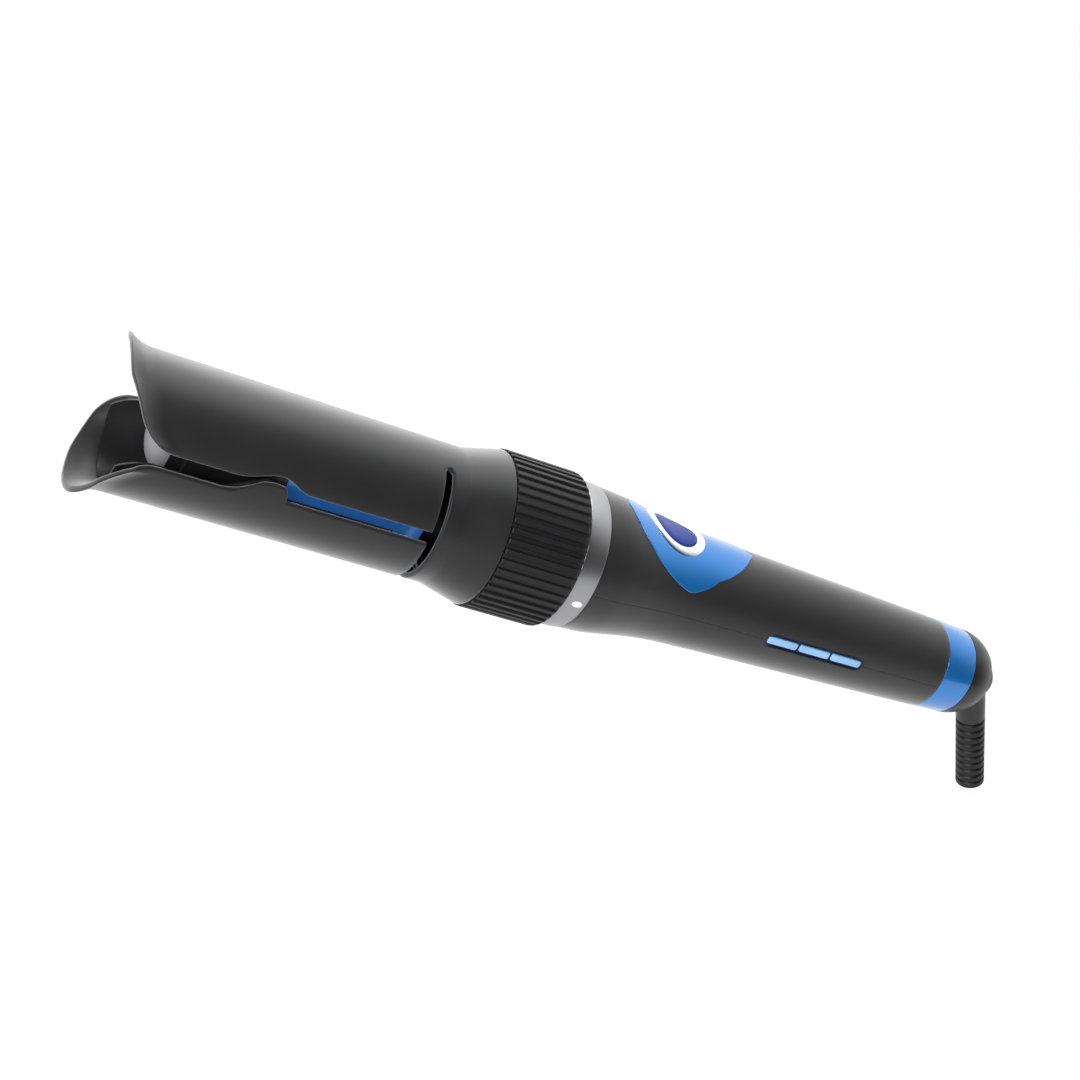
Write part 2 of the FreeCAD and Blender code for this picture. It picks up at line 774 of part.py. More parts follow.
def build_drive():
    """Gear plate, bush, spacers, motor plate, motor and pinion."""
    bush_r = d.hub_r + d.running_gap
    flange = bush_r + d.bush_wall
    turned("gear_plate", tube_outline(GEAR_PLATE, GEAR_PLATE + d.plate_thick, flange, NECK_BORE))
    turned("barrel_bush", [
        (GEAR_PLATE, bush_r), (GEAR_PLATE + d.plate_thick + d.bush_wall, bush_r),
        (GEAR_PLATE + d.plate_thick + d.bush_wall, flange + d.bush_wall),
        (GEAR_PLATE + d.plate_thick, flange + d.bush_wall), (GEAR_PLATE + d.plate_thick, flange),
        (GEAR_PLATE, flange),
    ])
    thick = d.motor_plate_thick
    disc = cylinder("motor_plate_disc", NECK_BORE, thick, (MOTOR_PLATE, 0, 0), ALONG_X)
    holes = [cylinder("motor_plate_bore", d.spindle_r, thick, (MOTOR_PLATE, 0, 0), ALONG_X),
             cylinder("motor_plate_shaft_hole", d.shaft_r + d.free_gap, thick,
                      (MOTOR_PLATE, 0, -DRIVE_OFFSET), ALONG_X)]
    spacers, screws = [], []
    low = GEAR_PLATE + d.plate_thick
    for number, angle in enumerate((30, 90, 150)):
        across = SPACER_RING_R * math.cos(math.radians(angle))
        up = SPACER_RING_R * math.sin(math.radians(angle))
        tag = str(number)
        holes.append(cylinder("plate_hole_" + tag, d.screw_r, thick, (MOTOR_PLATE, across, up), ALONG_X))
        outer = cylinder("spacer_outer_" + tag, d.spacer_r, MOTOR_PLATE - low, (low, across, up), ALONG_X)
        inner = cylinder("spacer_inner_" + tag, d.screw_r, MOTOR_PLATE - low, (low, across, up), ALONG_X)
        spacers.append(cut("spacer_" + tag, outer, inner))
        shank = cylinder("plate_screw_shank_" + tag, d.screw_r, MOTOR_PLATE + thick - low,
                         (low, across, up), ALONG_X)
        head = cylinder("plate_screw_head_" + tag, d.screw_head_r, d.screw_head,
                        (MOTOR_PLATE + thick, across, up), ALONG_X)
        screws.append(group("plate_screw_" + tag, [shank, head]))
    sub_part(cut("motor_plate", disc, group("motor_plate_cuts", holes)), "motor_plate")
    sub_part(group("plate_spacers", spacers, "Part::Compound"), "plate_spacers")
    sub_part(group("plate_screws", screws, "Part::Compound"), "plate_screws")
    drive = (0, 0, -DRIVE_OFFSET)
    back = MOTOR_PLATE + thick
    turned("gear_motor", [
        (back, d.shaft_r + d.free_gap), (back + d.free_gap * 2, d.shaft_r + d.free_gap),
        (back + d.free_gap * 2, 0), (back + d.motor_length, 0), (back + d.motor_length, MOTOR_R),
        (back, MOTOR_R),
    ], drive)
    margin = d.pinion_margin
    build_gear("motor_pinion", GEAR - margin, PINION_R, d.gear_width + 2 * margin, d.shaft_r,
               d.pinion_teeth, drive, (FreeCAD.Vector(1, 0, 0), 180 / d.pinion_teeth))
    shaft = cylinder("motor_shaft_rod", d.shaft_r, back - GEAR + margin, (0, 0, 0))
    sub_part(shaft, "motor_shaft", (GEAR - margin, 0, -DRIVE_OFFSET), ALONG_X)


# ---------------------------------------------------------------------------------------------------
# Neck: tube, twist ring and accent band
# ---------------------------------------------------------------------------------------------------


def build_neck():
    body = tool_body("neck_blank")
    revolve(body, tube_outline(NECK, NECK_END, NECK_BORE, d.neck_r))
    middle = RING + d.ring_length / 2
    reach = d.neck_wall + d.ring_gap / 2
    hole = cylinder("detent_hole", d.detent_r, SPAN, (middle, 0, 0))
    sub_part(cut("neck_tube", body, hole), "neck_tube")
    detent = cylinder("ring_detent_pin", d.detent_r, reach, (0, 0, 0))
    sub_part(detent, "ring_detent", (middle, 0, NECK_BORE))

    ring = tool_body("twist_ring")
    front, rear, round_r = RING + d.ring_gap, BAND - d.ring_gap, d.ring_round
    revolve(ring, [
        (front, d.neck_r + d.ring_gap), (rear, d.neck_r + d.ring_gap),
        (rear, RING_R - round_r, round_r), (rear - round_r, RING_R), (front, RING_R),
    ])
    doc.recompute()
    groove = ring_outline(new_sketch(ring, "YZ_Plane", front), 0, RING_R, d.rib_groove_r)
    pocket = extrude(ring, "Pocket", groove, d.ring_length, reverse=True)
    polar(ring, pocket, d.rib_count)
    sub_part(ring, "twist_ring")

    band = tool_body("band_blank")
    revolve(band, [
        (BAND, d.neck_r), (HANDLE, d.neck_r), (HANDLE, BAND_REAR_R), (BAND, BAND_FRONT_R),
    ])
    turn = (FreeCAD.Vector(1, 0, 0), d.dot_angle)
    station = BAND + d.dot_setback
    rod = cylinder("dot_rod", d.dot_r, SPAN, (station, 0, 0), turn)
    sub_part(cut("accent_band", band, rod), "accent_band")
    dot_band = tool_body("dot_blank")
    revolve(dot_band, [
        (BAND, d.neck_r), (HANDLE, d.neck_r), (HANDLE, BAND_REAR_R), (BAND, BAND_FRONT_R),
    ])
    dot_rod = cylinder("dot_core", d.dot_r, SPAN, (station, 0, 0), turn)
    sub_part(common("index_dot", dot_band, dot_rod), "index_dot")


# ---------------------------------------------------------------------------------------------------
# Handle: two shells, the shield panel and the controls
# ---------------------------------------------------------------------------------------------------


def handle_line(depth, front=None):
    """The handle's profile at a depth below its surface, from its front edge to its tail."""
    shoulder_arc = tangent_arc(d.shoulder_length, HANDLE_FRONT_R - SHOULDER_R)
    return [
        (HANDLE, HANDLE_FRONT_R - depth, -(shoulder_arc - depth)),
        (SHOULDER, SHOULDER_R - depth, d.saddle_arc + depth),
        (WAIST, d.waist_r - depth),
        (REAR_BAND, d.tail_r - depth),
    ]


def backwards(line):
    """The same line from its end to its start, with each arc moved to the corner it now leaves."""
    result = []
    for index in range(len(line) - 1, -1, -1):
        before = line[index - 1] if index else ()
        arc = (-before[2],) if len(before) == 3 else ()
        result.append(tuple(line[index][:2]) + arc)
    return result


def handle_wall(name, outer_depth, inner_depth, angle=360, reverse=False):
    """A solid of revolution between two depths below the handle's surface."""
    body = tool_body(name)
    corners = handle_line(inner_depth) + backwards(handle_line(outer_depth))
    revolve(body, corners, "XY_Plane", angle, reverse)
    return body


def handle_cavity(name):
    """The space inside the handle's shells, as a solid."""
    body = tool_body(name)
    corners = [(HANDLE, 0), (REAR_BAND, 0)] + backwards(handle_line(d.shell_wall))
    revolve(body, corners)
    return body


def prism(name, role, corners, length, offset=None, reverse=False):
    """An outline drawn on a plane and padded from it."""
    body = tool_body(name)
    extrude(body, "Pad", outline(new_sketch(body, role, offset), corners), length, reverse=reverse)
    return body


def shield_corners():
    """Top view of the shield: a round front, the widest place and a long taper to a blunt point."""
    front = HANDLE + d.shield_front
    wide, shoulder = d.shield_half_width, d.shield_shoulder
    widest = front + d.shield_widest
    tail = front + d.shield_length
    blunt = wide / 14
    bow = tangent_arc(d.shield_widest - shoulder / 2, wide - shoulder)
    return [
        (front, 0),
        (front + d.shield_widest / 12, -shoulder / 2, 1.9 * shoulder),
        (front + shoulder, -(wide + shoulder) / 2, bow),
        (widest, -wide, shoulder),
        (widest + shoulder / 2, -wide * 0.88),
        (tail, -blunt, blunt),
        (tail + blunt, 0, blunt),
        (tail, blunt),
        (widest + shoulder / 2, wide * 0.88, shoulder),
        (widest, wide, bow),
        (front + shoulder, (wide + shoulder) / 2, 1.9 * shoulder),
        (front + d.shield_widest / 12, shoulder / 2),
    ]


def stadium(middle, length, height):
    """A round-ended outline along X, centred on the axis's level."""
    half, end = (length - height) / 2, height / 2
    return [
        (middle - half, -end), (middle + half, -end, end), (middle + half + end, 0, end),
        (middle + half, end), (middle - half, end, end), (middle - half - end, 0, end),
    ]


def build_shells():
    """Upper and lower shell, cut for the panel, the start button and the side keys, and screwed."""
    start = HANDLE + d.start_place
    keys = HANDLE + d.keys_place
    places = [HANDLE + d.front_boss, HANDLE + d.middle_boss, HANDLE + d.rear_boss]
    cavity = handle_cavity("boss_limit")
    pillars, screws, holes = [], [], []
    for number, station in enumerate(places):
        tag = str(number)
        pillars.append(cylinder("pillar_" + tag, d.boss_r, SPAN, (station, 0, -SPAN / 2)))
        head_level = -(d.tail_r - d.shell_wall) + d.screw_head
        shank = cylinder("handle_screw_shank_" + tag, d.screw_r, d.screw_reach - head_level,
                         (station, 0, head_level))
        head = cylinder("handle_screw_head_" + tag, d.screw_head_r, d.screw_head,
                        (station, 0, head_level - d.screw_head))
        screws.append(group("handle_screw_" + tag, [shank, head]))
        holes.append(cylinder("screw_hole_" + tag, d.screw_r, d.screw_reach - head_level,
                              (station, 0, head_level)))
        holes.append(cylinder("screw_well_" + tag, d.screw_head_r, SPAN / 2,
                              (station, 0, head_level - SPAN / 2)))
    sub_part(group("handle_screws", screws, "Part::Compound"), "handle_screws")
    bosses = common("bosses", cavity, group("pillars", pillars, "Part::Compound"))
    start_hole = cylinder("start_hole", d.start_r + d.key_gap, SPAN, (start, 0, 0))
    keys_hole = prism("keys_hole", "XZ_Plane", stadium(keys, d.keys_length, d.keys_height), SPAN / 2)
    for name, low, high, reverse in (("handle_upper_shell", 0, SPAN, False),
                                     ("handle_lower_shell", -SPAN, 0, True)):
        wall = handle_wall(name + "_wall", Size(0, "0"), d.shell_wall, 180, reverse)
        side = block(name + "_side", (HANDLE, -SPAN, low), (REAR_BAND, SPAN, high))
        half_bosses = common(name + "_bosses", bosses, side)
        solid = group(name + "_solid", [wall, half_bosses])
        tools = holes + [keys_hole]
        if not reverse:
            tools = tools + [start_hole, shield_blank("shield_recess")]
        sub_part(cut(name, solid, group(name + "_cuts", tools)), name)


def shield_blank(name):
    """The panel's full body: a thin wall about the handle's surface inside the shield's outline."""
    wall = handle_wall(name + "_wall", -d.panel_proud, d.panel_thick - d.panel_proud, 180)
    outline_body = prism(name + "_outline", "XY_Plane", shield_corners(), SPAN / 2)
    return common(name, wall, outline_body)


def build_shield():
    """Shield panel, its bezel and the start button that sinks through them."""
    start = HANDLE + d.start_place
    hole_r = d.start_r + d.key_gap
    hole = cylinder("panel_hole", hole_r, SPAN, (start, 0, 0))
    sub_part(cut("shield_panel", shield_blank("panel_blank"), hole), "shield_panel")

    bezel_wall = handle_wall("bezel_wall", -(d.panel_proud + d.bezel_proud), -d.panel_proud, 180)
    disc = cylinder("bezel_disc", d.bezel_r, SPAN, (start, 0, 0))
    bezel_hole = cylinder("bezel_hole", hole_r, SPAN, (start, 0, 0))
    ring = cut("bezel_ring", disc, bezel_hole)
    sub_part(common("start_bezel", bezel_wall, ring), "start_bezel")

    top = -(d.panel_proud + d.bezel_proud / 2)
    cap_wall = handle_wall("start_wall", top, top + d.start_thick, 180)
    cap = common("start_cap", cap_wall, cylinder("start_disc", d.start_r, SPAN, (start, 0, 0)))
    stem_foot = d.board_level + d.board_thick + d.switch_height + d.start_travel + d.key_gap
    stem = cylinder("start_stem", d.stem_r, d.waist_r - stem_foot, (start, 0, stem_foot))
    sub_part(group("start_button", [cap, stem]), "start_button")


def build_side_keys():
    """Frame, three keys, their switches and the small board behind them, on the handle's near side."""
    middle = HANDLE + d.keys_place
    frame_wall = handle_wall("frame_wall", d.frame_sunk, d.frame_sunk + d.frame_thick)
    frame_blank = common("frame_blank", frame_wall,
                         prism("frame_prism", "XZ_Plane", stadium(middle, d.keys_length, d.keys_height),
                               SPAN / 2))
    windows, switches = [], []
    pitch = (d.keys_length - d.keys_margin) / 3
    length = pitch - d.key_space
    half = d.switch_side / 2
    board_face = -d.key_board_place
    for name, step in (("side_key_front", -1), ("side_key_middle", 0), ("side_key_rear", 1)):
        station = middle + step * pitch
        wall = handle_wall(name + "_wall", Size(0, "0"), d.key_thick)
        size = (length, d.key_height)
        shape = prism(name + "_prism", "XZ_Plane", key_corners(station, *size), SPAN / 2)
        sub_part(common(name, wall, shape), name)
        gap = 2 * d.key_gap
        windows.append(prism(name + "_window", "XZ_Plane",
                             key_corners(station, length + gap, d.key_height + gap), SPAN / 2))
        switches.append(block(name + "_switch", (station - half, board_face - d.switch_height, -half / 2),
                              (station + half, board_face, half / 2)))
    sub_part(cut("key_frame", frame_blank, group("key_windows", windows)), "key_frame")
    sub_part(group("key_switches", switches, "Part::Compound"), "key_switches")
    reach = d.keys_length / 2
    board = block("key_board_plate", (middle - reach, board_face, -d.key_board_place),
                  (middle + reach, board_face + d.board_thick, d.board_level))
    sub_part(common("key_board", handle_cavity("key_board_limit"), board), "key_board")


def key_corners(station, length, height):
    """A key seen from the side: a small plate with cut corners."""
    half, up, chamfer = length / 2, height / 2, height / 4
    return [
        (station - half, -up + chamfer), (station - half + chamfer, -up), (station + half - chamfer, -up),
        (station + half, -up + chamfer), (station + half, up - chamfer), (station + half - chamfer, up),
        (station - half + chamfer, up), (station - half, up - chamfer),
    ]


def build_boards():
    """Control board with the start switch, and the clamp that holds the cord."""
    front = HANDLE + d.board_front
    plate = block("board_plate", (front, -d.board_half_width, d.board_level),
                  (front + d.board_length, d.board_half_width, d.board_level + d.board_thick))
    sub_part(common("control_board", handle_cavity("board_limit"), plate), "control_board")
    start = HANDLE + d.start_place
    half = d.switch_side / 2
    level = d.board_level + d.board_thick
    switch = block("start_switch_box", (start - half, -half, level),
                   (start + half, half, level + d.switch_height))
    sub_part(group("start_switch", [switch], "Part::Compound"), "start_switch")
    rear = REAR_BAND - d.clamp_setback + d.clamp_length
    bar = block("clamp_bar", (rear - d.clamp_length, -d.clamp_half_width, -SPAN / 2),
                (rear, d.clamp_half_width, -d.clamp_level))
    sub_part(common("cord_clamp", handle_cavity("clamp_limit"), bar), "cord_clamp")


# ---------------------------------------------------------------------------------------------------
# Tail: band, end cap, swivel and boot
# ---------------------------------------------------------------------------------------------------


def build_tail():
    bore = d.journal_r + d.running_gap
    turned("rear_band", [
        (REAR_BAND, d.tail_r - d.rear_wall), (CAP, d.rear_band_r - d.rear_wall), (CAP, d.rear_band_r),
        (REAR_BAND, d.tail_r),
    ])
    cap = tool_body("cap_blank")
    mouth = (d.cap_end_r - bore) * d.boot_angle.cos() / d.boot_angle.sin()
    revolve(cap, [
        (CAP, bore), (CAP_END - mouth, bore),
        (CAP_END, d.cap_end_r, tangent_arc(d.cap_length, d.rear_band_r - d.cap_end_r)),
        (CAP, d.rear_band_r),
    ])
    socket = doc.addObject("Part::Sphere", "cap_socket")
    bind(socket, "Radius", d.ball_r + d.key_gap)
    place(socket, (PIVOT, 0, 0), in_tool=False)
    sub_part(cut("end_cap", cap, socket), "end_cap")

    ball = doc.addObject("Part::Sphere", "elbow_ball")
    bind(ball, "Radius", d.ball_r)
    place(ball, (PIVOT, 0, 0), in_tool=False)
    journal_end = (PIVOT - d.journal_length, 0, 0)
    journal = cylinder("elbow_journal", d.journal_r, d.journal_length, journal_end, ALONG_X)
    down = (FreeCAD.Vector(0, 1, 0), 90 + d.boot_angle)
    arm = cylinder("elbow_arm", d.boot_r, d.boot_neck, (PIVOT, 0, 0), down)
    duct_r = d.cord_bore_r + d.free_gap
    arm_bore = cylinder("elbow_arm_bore", duct_r, d.boot_neck, (PIVOT, 0, 0), down)
    journal_bore = cylinder("elbow_journal_bore", duct_r, d.journal_length, journal_end, ALONG_X)
    turn_ball = doc.addObject("Part::Sphere", "elbow_turn")
    bind(turn_ball, "Radius", duct_r)
    place(turn_ball, (PIVOT, 0, 0), in_tool=False)
    solid = group("elbow_solid", [ball, journal, arm])
    hollow = group("elbow_hollow", [arm_bore, journal_bore, turn_ball])
    sub_part(cut("swivel_elbow", solid, hollow), "swivel_elbow")
    clip = PIVOT - d.journal_length + d.free_gap
    turned("swivel_clip", tube_outline(clip, clip + d.clip_thick, d.journal_r, d.clip_r))
    build_boot()


def build_boot():
    """Ribbed strain relief, turned about its own axis and hung from the swivel."""
    low = d.boot_r - d.boot_groove_depth
    top = []
    for rib in range(int(DIMENSIONS["boot_ribs"])):
        start = d.boot_neck + rib * d.boot_pitch
        top += [
            (start, low), (start + d.boot_groove, low), (start + d.boot_groove, d.boot_r),
            (start + d.boot_pitch, d.boot_r),
        ]
    corners = [(d.boot_neck, d.cord_bore_r), (BOOT_LENGTH, d.cord_bore_r)] + top[::-1]
    turned("strain_relief", corners, (PIVOT, 0, 0), (FreeCAD.Vector(0, 1, 0), d.boot_angle))


# ---------------------------------------------------------------------------------------------------
# Build, check and write
# ---------------------------------------------------------------------------------------------------


def build_all():
    build_guard()
    build_barrel()
    build_heater()
    build_drive()
    build_neck()
    build_shells()
    build_shield()
    build_side_keys()
    build_boards()
    build_tail()
    doc.recompute()


def check_all():
    """Stop if any object failed or any sub-part is empty or not valid."""
    faults = []
    for thing in doc.Objects:
        if "Invalid" in thing.State or "Error" in thing.State:
            faults.append("{} failed: {}".format(thing.Name, thing.getStatusString()))
    for thing in SUBPARTS:
        if thing.Shape.isNull() or not thing.Shape.isValid() or not thing.Shape.Solids:
            faults.append("{}: shape is empty or not valid".format(thing.Label))
    if faults:
        raise RuntimeError("\n".join(faults))


def write_all():
    os.makedirs("parts", exist_ok=True)
    for thing in SUBPARTS:
        thing.Shape.exportStep("parts/{}.step".format(thing.Label))
        box = thing.Shape.optimalBoundingBox(False)
        print("{:20s} solids {} volume {:9.1f} x {:7.1f} {:7.1f} y {:6.1f} {:6.1f} z {:6.1f} {:6.1f}".format(
            thing.Label, len(thing.Shape.Solids), thing.Shape.Volume,
            box.XMin, box.XMax, box.YMin, box.YMax, box.ZMin, box.ZMax))


build_all()
check_all()
write_all()
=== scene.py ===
"""Looks of an automatic hair curler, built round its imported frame.

The visible shells are numpy surfaces in the tool's own coordinates: x runs along the tool's axis
from the lower lip, y and z are measured from the axis, and Axis.place moves them into the frame.
All lengths are metres, written as a number of millimetres times MM.
"""

import json
import logging
import math
from dataclasses import dataclass, field
from enum import Enum
from types import MappingProxyType
from typing import Callable, Mapping, Sequence

import bmesh
import bpy
import numpy as np
from mathutils import Matrix, Vector

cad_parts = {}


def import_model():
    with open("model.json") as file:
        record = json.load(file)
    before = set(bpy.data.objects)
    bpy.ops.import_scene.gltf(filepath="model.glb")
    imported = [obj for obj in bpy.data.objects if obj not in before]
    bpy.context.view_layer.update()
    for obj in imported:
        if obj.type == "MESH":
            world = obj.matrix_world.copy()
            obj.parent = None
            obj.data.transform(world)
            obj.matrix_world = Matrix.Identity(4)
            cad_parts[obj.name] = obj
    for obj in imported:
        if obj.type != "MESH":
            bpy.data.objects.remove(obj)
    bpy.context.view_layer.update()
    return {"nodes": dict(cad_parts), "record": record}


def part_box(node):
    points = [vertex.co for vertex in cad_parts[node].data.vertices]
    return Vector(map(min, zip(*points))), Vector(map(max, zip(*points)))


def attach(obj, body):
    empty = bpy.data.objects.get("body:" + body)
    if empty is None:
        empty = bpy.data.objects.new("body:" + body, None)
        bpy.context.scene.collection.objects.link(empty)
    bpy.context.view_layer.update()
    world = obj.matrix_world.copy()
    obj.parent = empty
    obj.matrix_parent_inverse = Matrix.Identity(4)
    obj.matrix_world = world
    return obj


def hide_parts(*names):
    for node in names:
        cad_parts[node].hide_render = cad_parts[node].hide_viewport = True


LOG = logging.getLogger("curler")
MM = 0.001
COAT_ROUGHNESS = 0.04
SHEEN_ROUGHNESS = 0.4
BRUSH_STRETCH = 0.06
BROAD_NOISE = 40.0
Array = np.ndarray
Color = tuple[float, float, float]
Pairs = tuple[tuple[float, float], ...]
Thing = bpy.types.Object


# --- finishes ---


class Surface(Enum):
    """The kinds of fine relief that a finish can have."""

    PLAIN = "plain"
    GRAIN = "grain"
    BRUSHED = "brushed"
    FLAKE = "flake"


@dataclass
class Graph:
    """A node tree, with short ways to add nodes, fill their inputs and join them."""

    tree: bpy.types.NodeTree

    def add(self, kind: str, values: Mapping[str | int, object] = MappingProxyType({}),
            **settings: object) -> bpy.types.Node:
        """Add a node.

        Args:
            kind: the node's type.
            values: values of its inputs.
            settings: its other properties.

        Returns:
            The node.
        """
        node = self.tree.nodes.new(kind)
        for name, value in settings.items():
            setattr(node, name, value)
        self.fill(node, values)
        return node

    @staticmethod
    def fill(node: bpy.types.Node, values: Mapping[str | int, object]) -> None:
        """Set a node's inputs by name or number."""
        for name, value in values.items():
            node.inputs[name].default_value = value

    def join(self, source: bpy.types.NodeSocket, target: bpy.types.NodeSocket) -> None:
        """Link an output to an input."""
        self.tree.links.new(source, target)


@dataclass(frozen=True)
class Finish:
    """One finish: its colour, its gloss and the relief that shows close up.

    Fields:
        name: the material's name.
        color: linear base colour.
        rough: roughness of the surface.
        metal: how metallic it is.
        coat: weight of a clear coat.
        specular: specular level of the plastic below the coat.
        surface: kind of relief.
        scale: relief features per metre.
        relief: height of the relief in metres.
        spread: how far the colour and the gloss vary from place to place.
        glow: strength of painted light, an emission of the base colour that makes the part look lit though
            it is no lamp.
        sheen: weight of the soft haze at grazing angles.
    """

    name: str
    color: Color
    rough: float
    metal: float = 0.0
    coat: float = 0.0
    specular: float = 0.5
    surface: Surface = Surface.GRAIN
    scale: float = 2500.0
    relief: float = 0.00002
    spread: float = 0.06
    glow: float = 0.0
    sheen: float = 0.0

    def build(self) -> bpy.types.Material:
        """Make the material.

        Returns:
            A node material that reads Object coordinates.
        """
        material = bpy.data.materials.new(self.name)
        material.use_nodes = True
        graph = Graph(material.node_tree)
        shader = graph.tree.nodes["Principled BSDF"]
        graph.fill(shader, {"Metallic": self.metal, "Coat Weight": self.coat,
                            "Coat Roughness": COAT_ROUGHNESS, "Specular IOR Level": self.specular,
                            "Sheen Weight": self.sheen, "Sheen Roughness": SHEEN_ROUGHNESS})
        # Painted light: the part also emits its own colour, so it looks lit without a lamp.
        if self.glow:
            graph.fill(shader, {"Emission Color": (*self.color, 1.0), "Emission Strength": self.glow})
        across = BRUSH_STRETCH if self.surface is Surface.BRUSHED else 1.0
        place = graph.add("ShaderNodeTexCoord")
        stretch = graph.add("ShaderNodeMapping", {"Scale": (1.0, across, across)})
        graph.join(place.outputs["Object"], stretch.inputs["Vector"])
        noises = [graph.add("ShaderNodeTexNoise", {"Scale": scale, "Detail": 3.0})
                  for scale in (self.scale / BROAD_NOISE, self.scale)]
        for noise in noises:
            graph.join(stretch.outputs["Vector"], noise.inputs["Vector"])
        self._tint(graph, shader, noises[1 if self.surface is Surface.FLAKE else 0])
        low, high = self.rough * (1.0 - self.spread), self.rough * (1.0 + self.spread)
        span = graph.add("ShaderNodeMapRange", {"To Min": low, "To Max": high})
        graph.join(noises[0].outputs["Fac"], span.inputs["Value"])
        graph.join(span.outputs["Result"], shader.inputs["Roughness"])
        if self.surface is not Surface.PLAIN:
            bump = graph.add("ShaderNodeBump", {"Distance": self.relief, "Strength": 0.6})
            graph.join(noises[1].outputs["Fac"], bump.inputs["Height"])
            graph.join(bump.outputs["Normal"], shader.inputs["Normal"])
        return material

    def _tint(self, graph: Graph, shader: bpy.types.Node, noise: bpy.types.Node) -> None:
        """Vary the colour a little with a noise.

        Args:
            graph: the material's nodes.
            shader: the surface shader.
            noise: the noise that chooses the tint.
        """
        ramp = graph.add("ShaderNodeValToRGB")
        for stop, place, change in zip(ramp.color_ramp.elements, (0.35, 0.65), (-self.spread, self.spread)):
            stop.position = place
            stop.color = (*(min(1.0, c * (1.0 + change)) for c in self.color), 1.0)
        graph.join(noise.outputs["Fac"], ramp.inputs["Fac"])
        graph.join(ramp.outputs["Color"], shader.inputs["Base Color"])


FINISHES: dict[str, Finish] = {finish.name: finish for finish in (
    Finish("soft_black", (0.012, 0.012, 0.013), 0.4, specular=0.32, scale=3200.0, sheen=0.6),
    Finish("liner_black", (0.01, 0.01, 0.011), 0.38, scale=2600.0),
    Finish("ring_rubber", (0.009, 0.009, 0.01), 0.5, specular=0.35, scale=3000.0,
           relief=0.00003),
    Finish("satin_silver", (0.34, 0.34, 0.35), 0.34, metal=1.0,
           surface=Surface.BRUSHED, scale=4000.0, relief=0.000004),
    Finish("bright_chrome", (0.86, 0.89, 0.94), 0.16, metal=1.0,
           surface=Surface.PLAIN, spread=0.02),
    Finish("metallic_blue", (0.009, 0.2, 0.6), 0.26, metal=0.5, coat=0.8,
           surface=Surface.FLAKE, scale=9000.0, relief=0.0000006, spread=0.1),
    Finish("deep_blue", (0.012, 0.04, 0.28), 0.4, specular=0.2, surface=Surface.PLAIN),
    Finish("key_blue", (0.27, 0.52, 0.84), 0.3, coat=0.5, surface=Surface.PLAIN),
    Finish("navy_frame", (0.003, 0.008, 0.035), 0.3, specular=0.3, surface=Surface.PLAIN),
    # barrel_blue glows: painted light that keeps the barrel bright where it lies in the shade of the slot.
    Finish("barrel_blue", (0.024, 0.13, 0.42), 0.3, metal=0.3, coat=0.4,
           surface=Surface.FLAKE, scale=7000.0, relief=0.000001, glow=0.35),
    Finish("tip_grey", (0.22, 0.22, 0.23), 0.38),
    # white_mark glows a little: painted light that brightens the index mark.
    Finish("white_mark", (0.8, 0.8, 0.8), 0.4, surface=Surface.PLAIN, glow=0.15),
    Finish("boot_rubber", (0.006, 0.006, 0.007), 0.45, specular=0.3, scale=2200.0,
           relief=0.00003),
    # inner_plastic is near black: painted shade for the inner parts that show through the slot and the slit.
    Finish("inner_plastic", (0.03, 0.03, 0.031), 0.5, specular=0.3),
    Finish("machined_alu", (0.72, 0.73, 0.74), 0.28, metal=1.0, surface=Surface.BRUSHED,
           scale=5000.0, relief=0.000005),
    Finish("steel", (0.3, 0.3, 0.31), 0.35, metal=1.0, surface=Surface.BRUSHED,
           scale=5000.0, relief=0.000003),
    Finish("brass_part", (0.72, 0.52, 0.2), 0.25, metal=1.0, scale=3000.0, relief=0.000003),
    Finish("ceramic", (0.8, 0.78, 0.72), 0.5),
    Finish("board_green", (0.02, 0.2, 0.07), 0.35, coat=0.3),
)}


@dataclass
class Palette:
    """Builds each finish once and dresses objects with it."""

    made: dict[str, bpy.types.Material] = field(default_factory=dict)

    def get(self, slot: str) -> bpy.types.Material:
        """Give the material of a slot.

        Args:
            slot: name of the finish and of the record's material slot.

        Returns:
            The material, made on first use.
        """
        if slot not in self.made:
            self.made[slot] = FINISHES[slot].build()
        return self.made[slot]

    def dress(self, thing: Thing, slot: str) -> None:
        """Put one finish on a whole object."""
        thing.data.materials.clear()
        thing.data.materials.append(self.get(slot))


# --- mesh helpers ---


def smooth_curve(x: Array, stations: Sequence[float], values: Sequence[float]) -> Array:
    """Cubic Hermite curve through stations, with slopes from the neighbouring differences.

    Args:
        x: where to read the curve.
        stations: increasing places of the known values.
        values: the known values.

    Returns:
        The curve's values at x.
    """
    known, height = np.asarray(stations, float), np.asarray(values, float)
    slope = np.gradient(height, known)
    cell = np.clip(np.searchsorted(known, x) - 1, 0, len(known) - 2)
    width = known[cell + 1] - known[cell]
    t = np.clip((x - known[cell]) / width, 0.0, 1.0)
    return ((2 * t**3 - 3 * t**2 + 1) * height[cell] + (t**3 - 2 * t**2 + t) * width * slope[cell]
            + (3 * t**2 - 2 * t**3) * height[cell + 1] + (t**3 - t**2) * width * slope[cell + 1])


def ease(t: Array) -> Array:
    """A smooth step from 0 to 1."""
    return t**2 * (3 - 2 * t)


def circle(count: int) -> Array:
    """Evenly spaced angles of a full turn, as one row."""
    return np.linspace(0.0, 2 * np.pi, count, endpoint=False)[None, :]


def runs(first: Array, stops: Sequence[float], counts: Sequence[int]) -> Array:
    """Carry stations on through even runs.

    Args:
        first: the first stations.
        stops: where each further run ends.
        counts: stations of each run, with both its ends.

    Returns:
        The stations, as a column.
    """
    parts = [first]
    for stop, count in zip(stops, counts):
        parts.append(np.linspace(parts[-1][-1], stop, count)[1:])
    return np.concatenate(parts)[:, None]


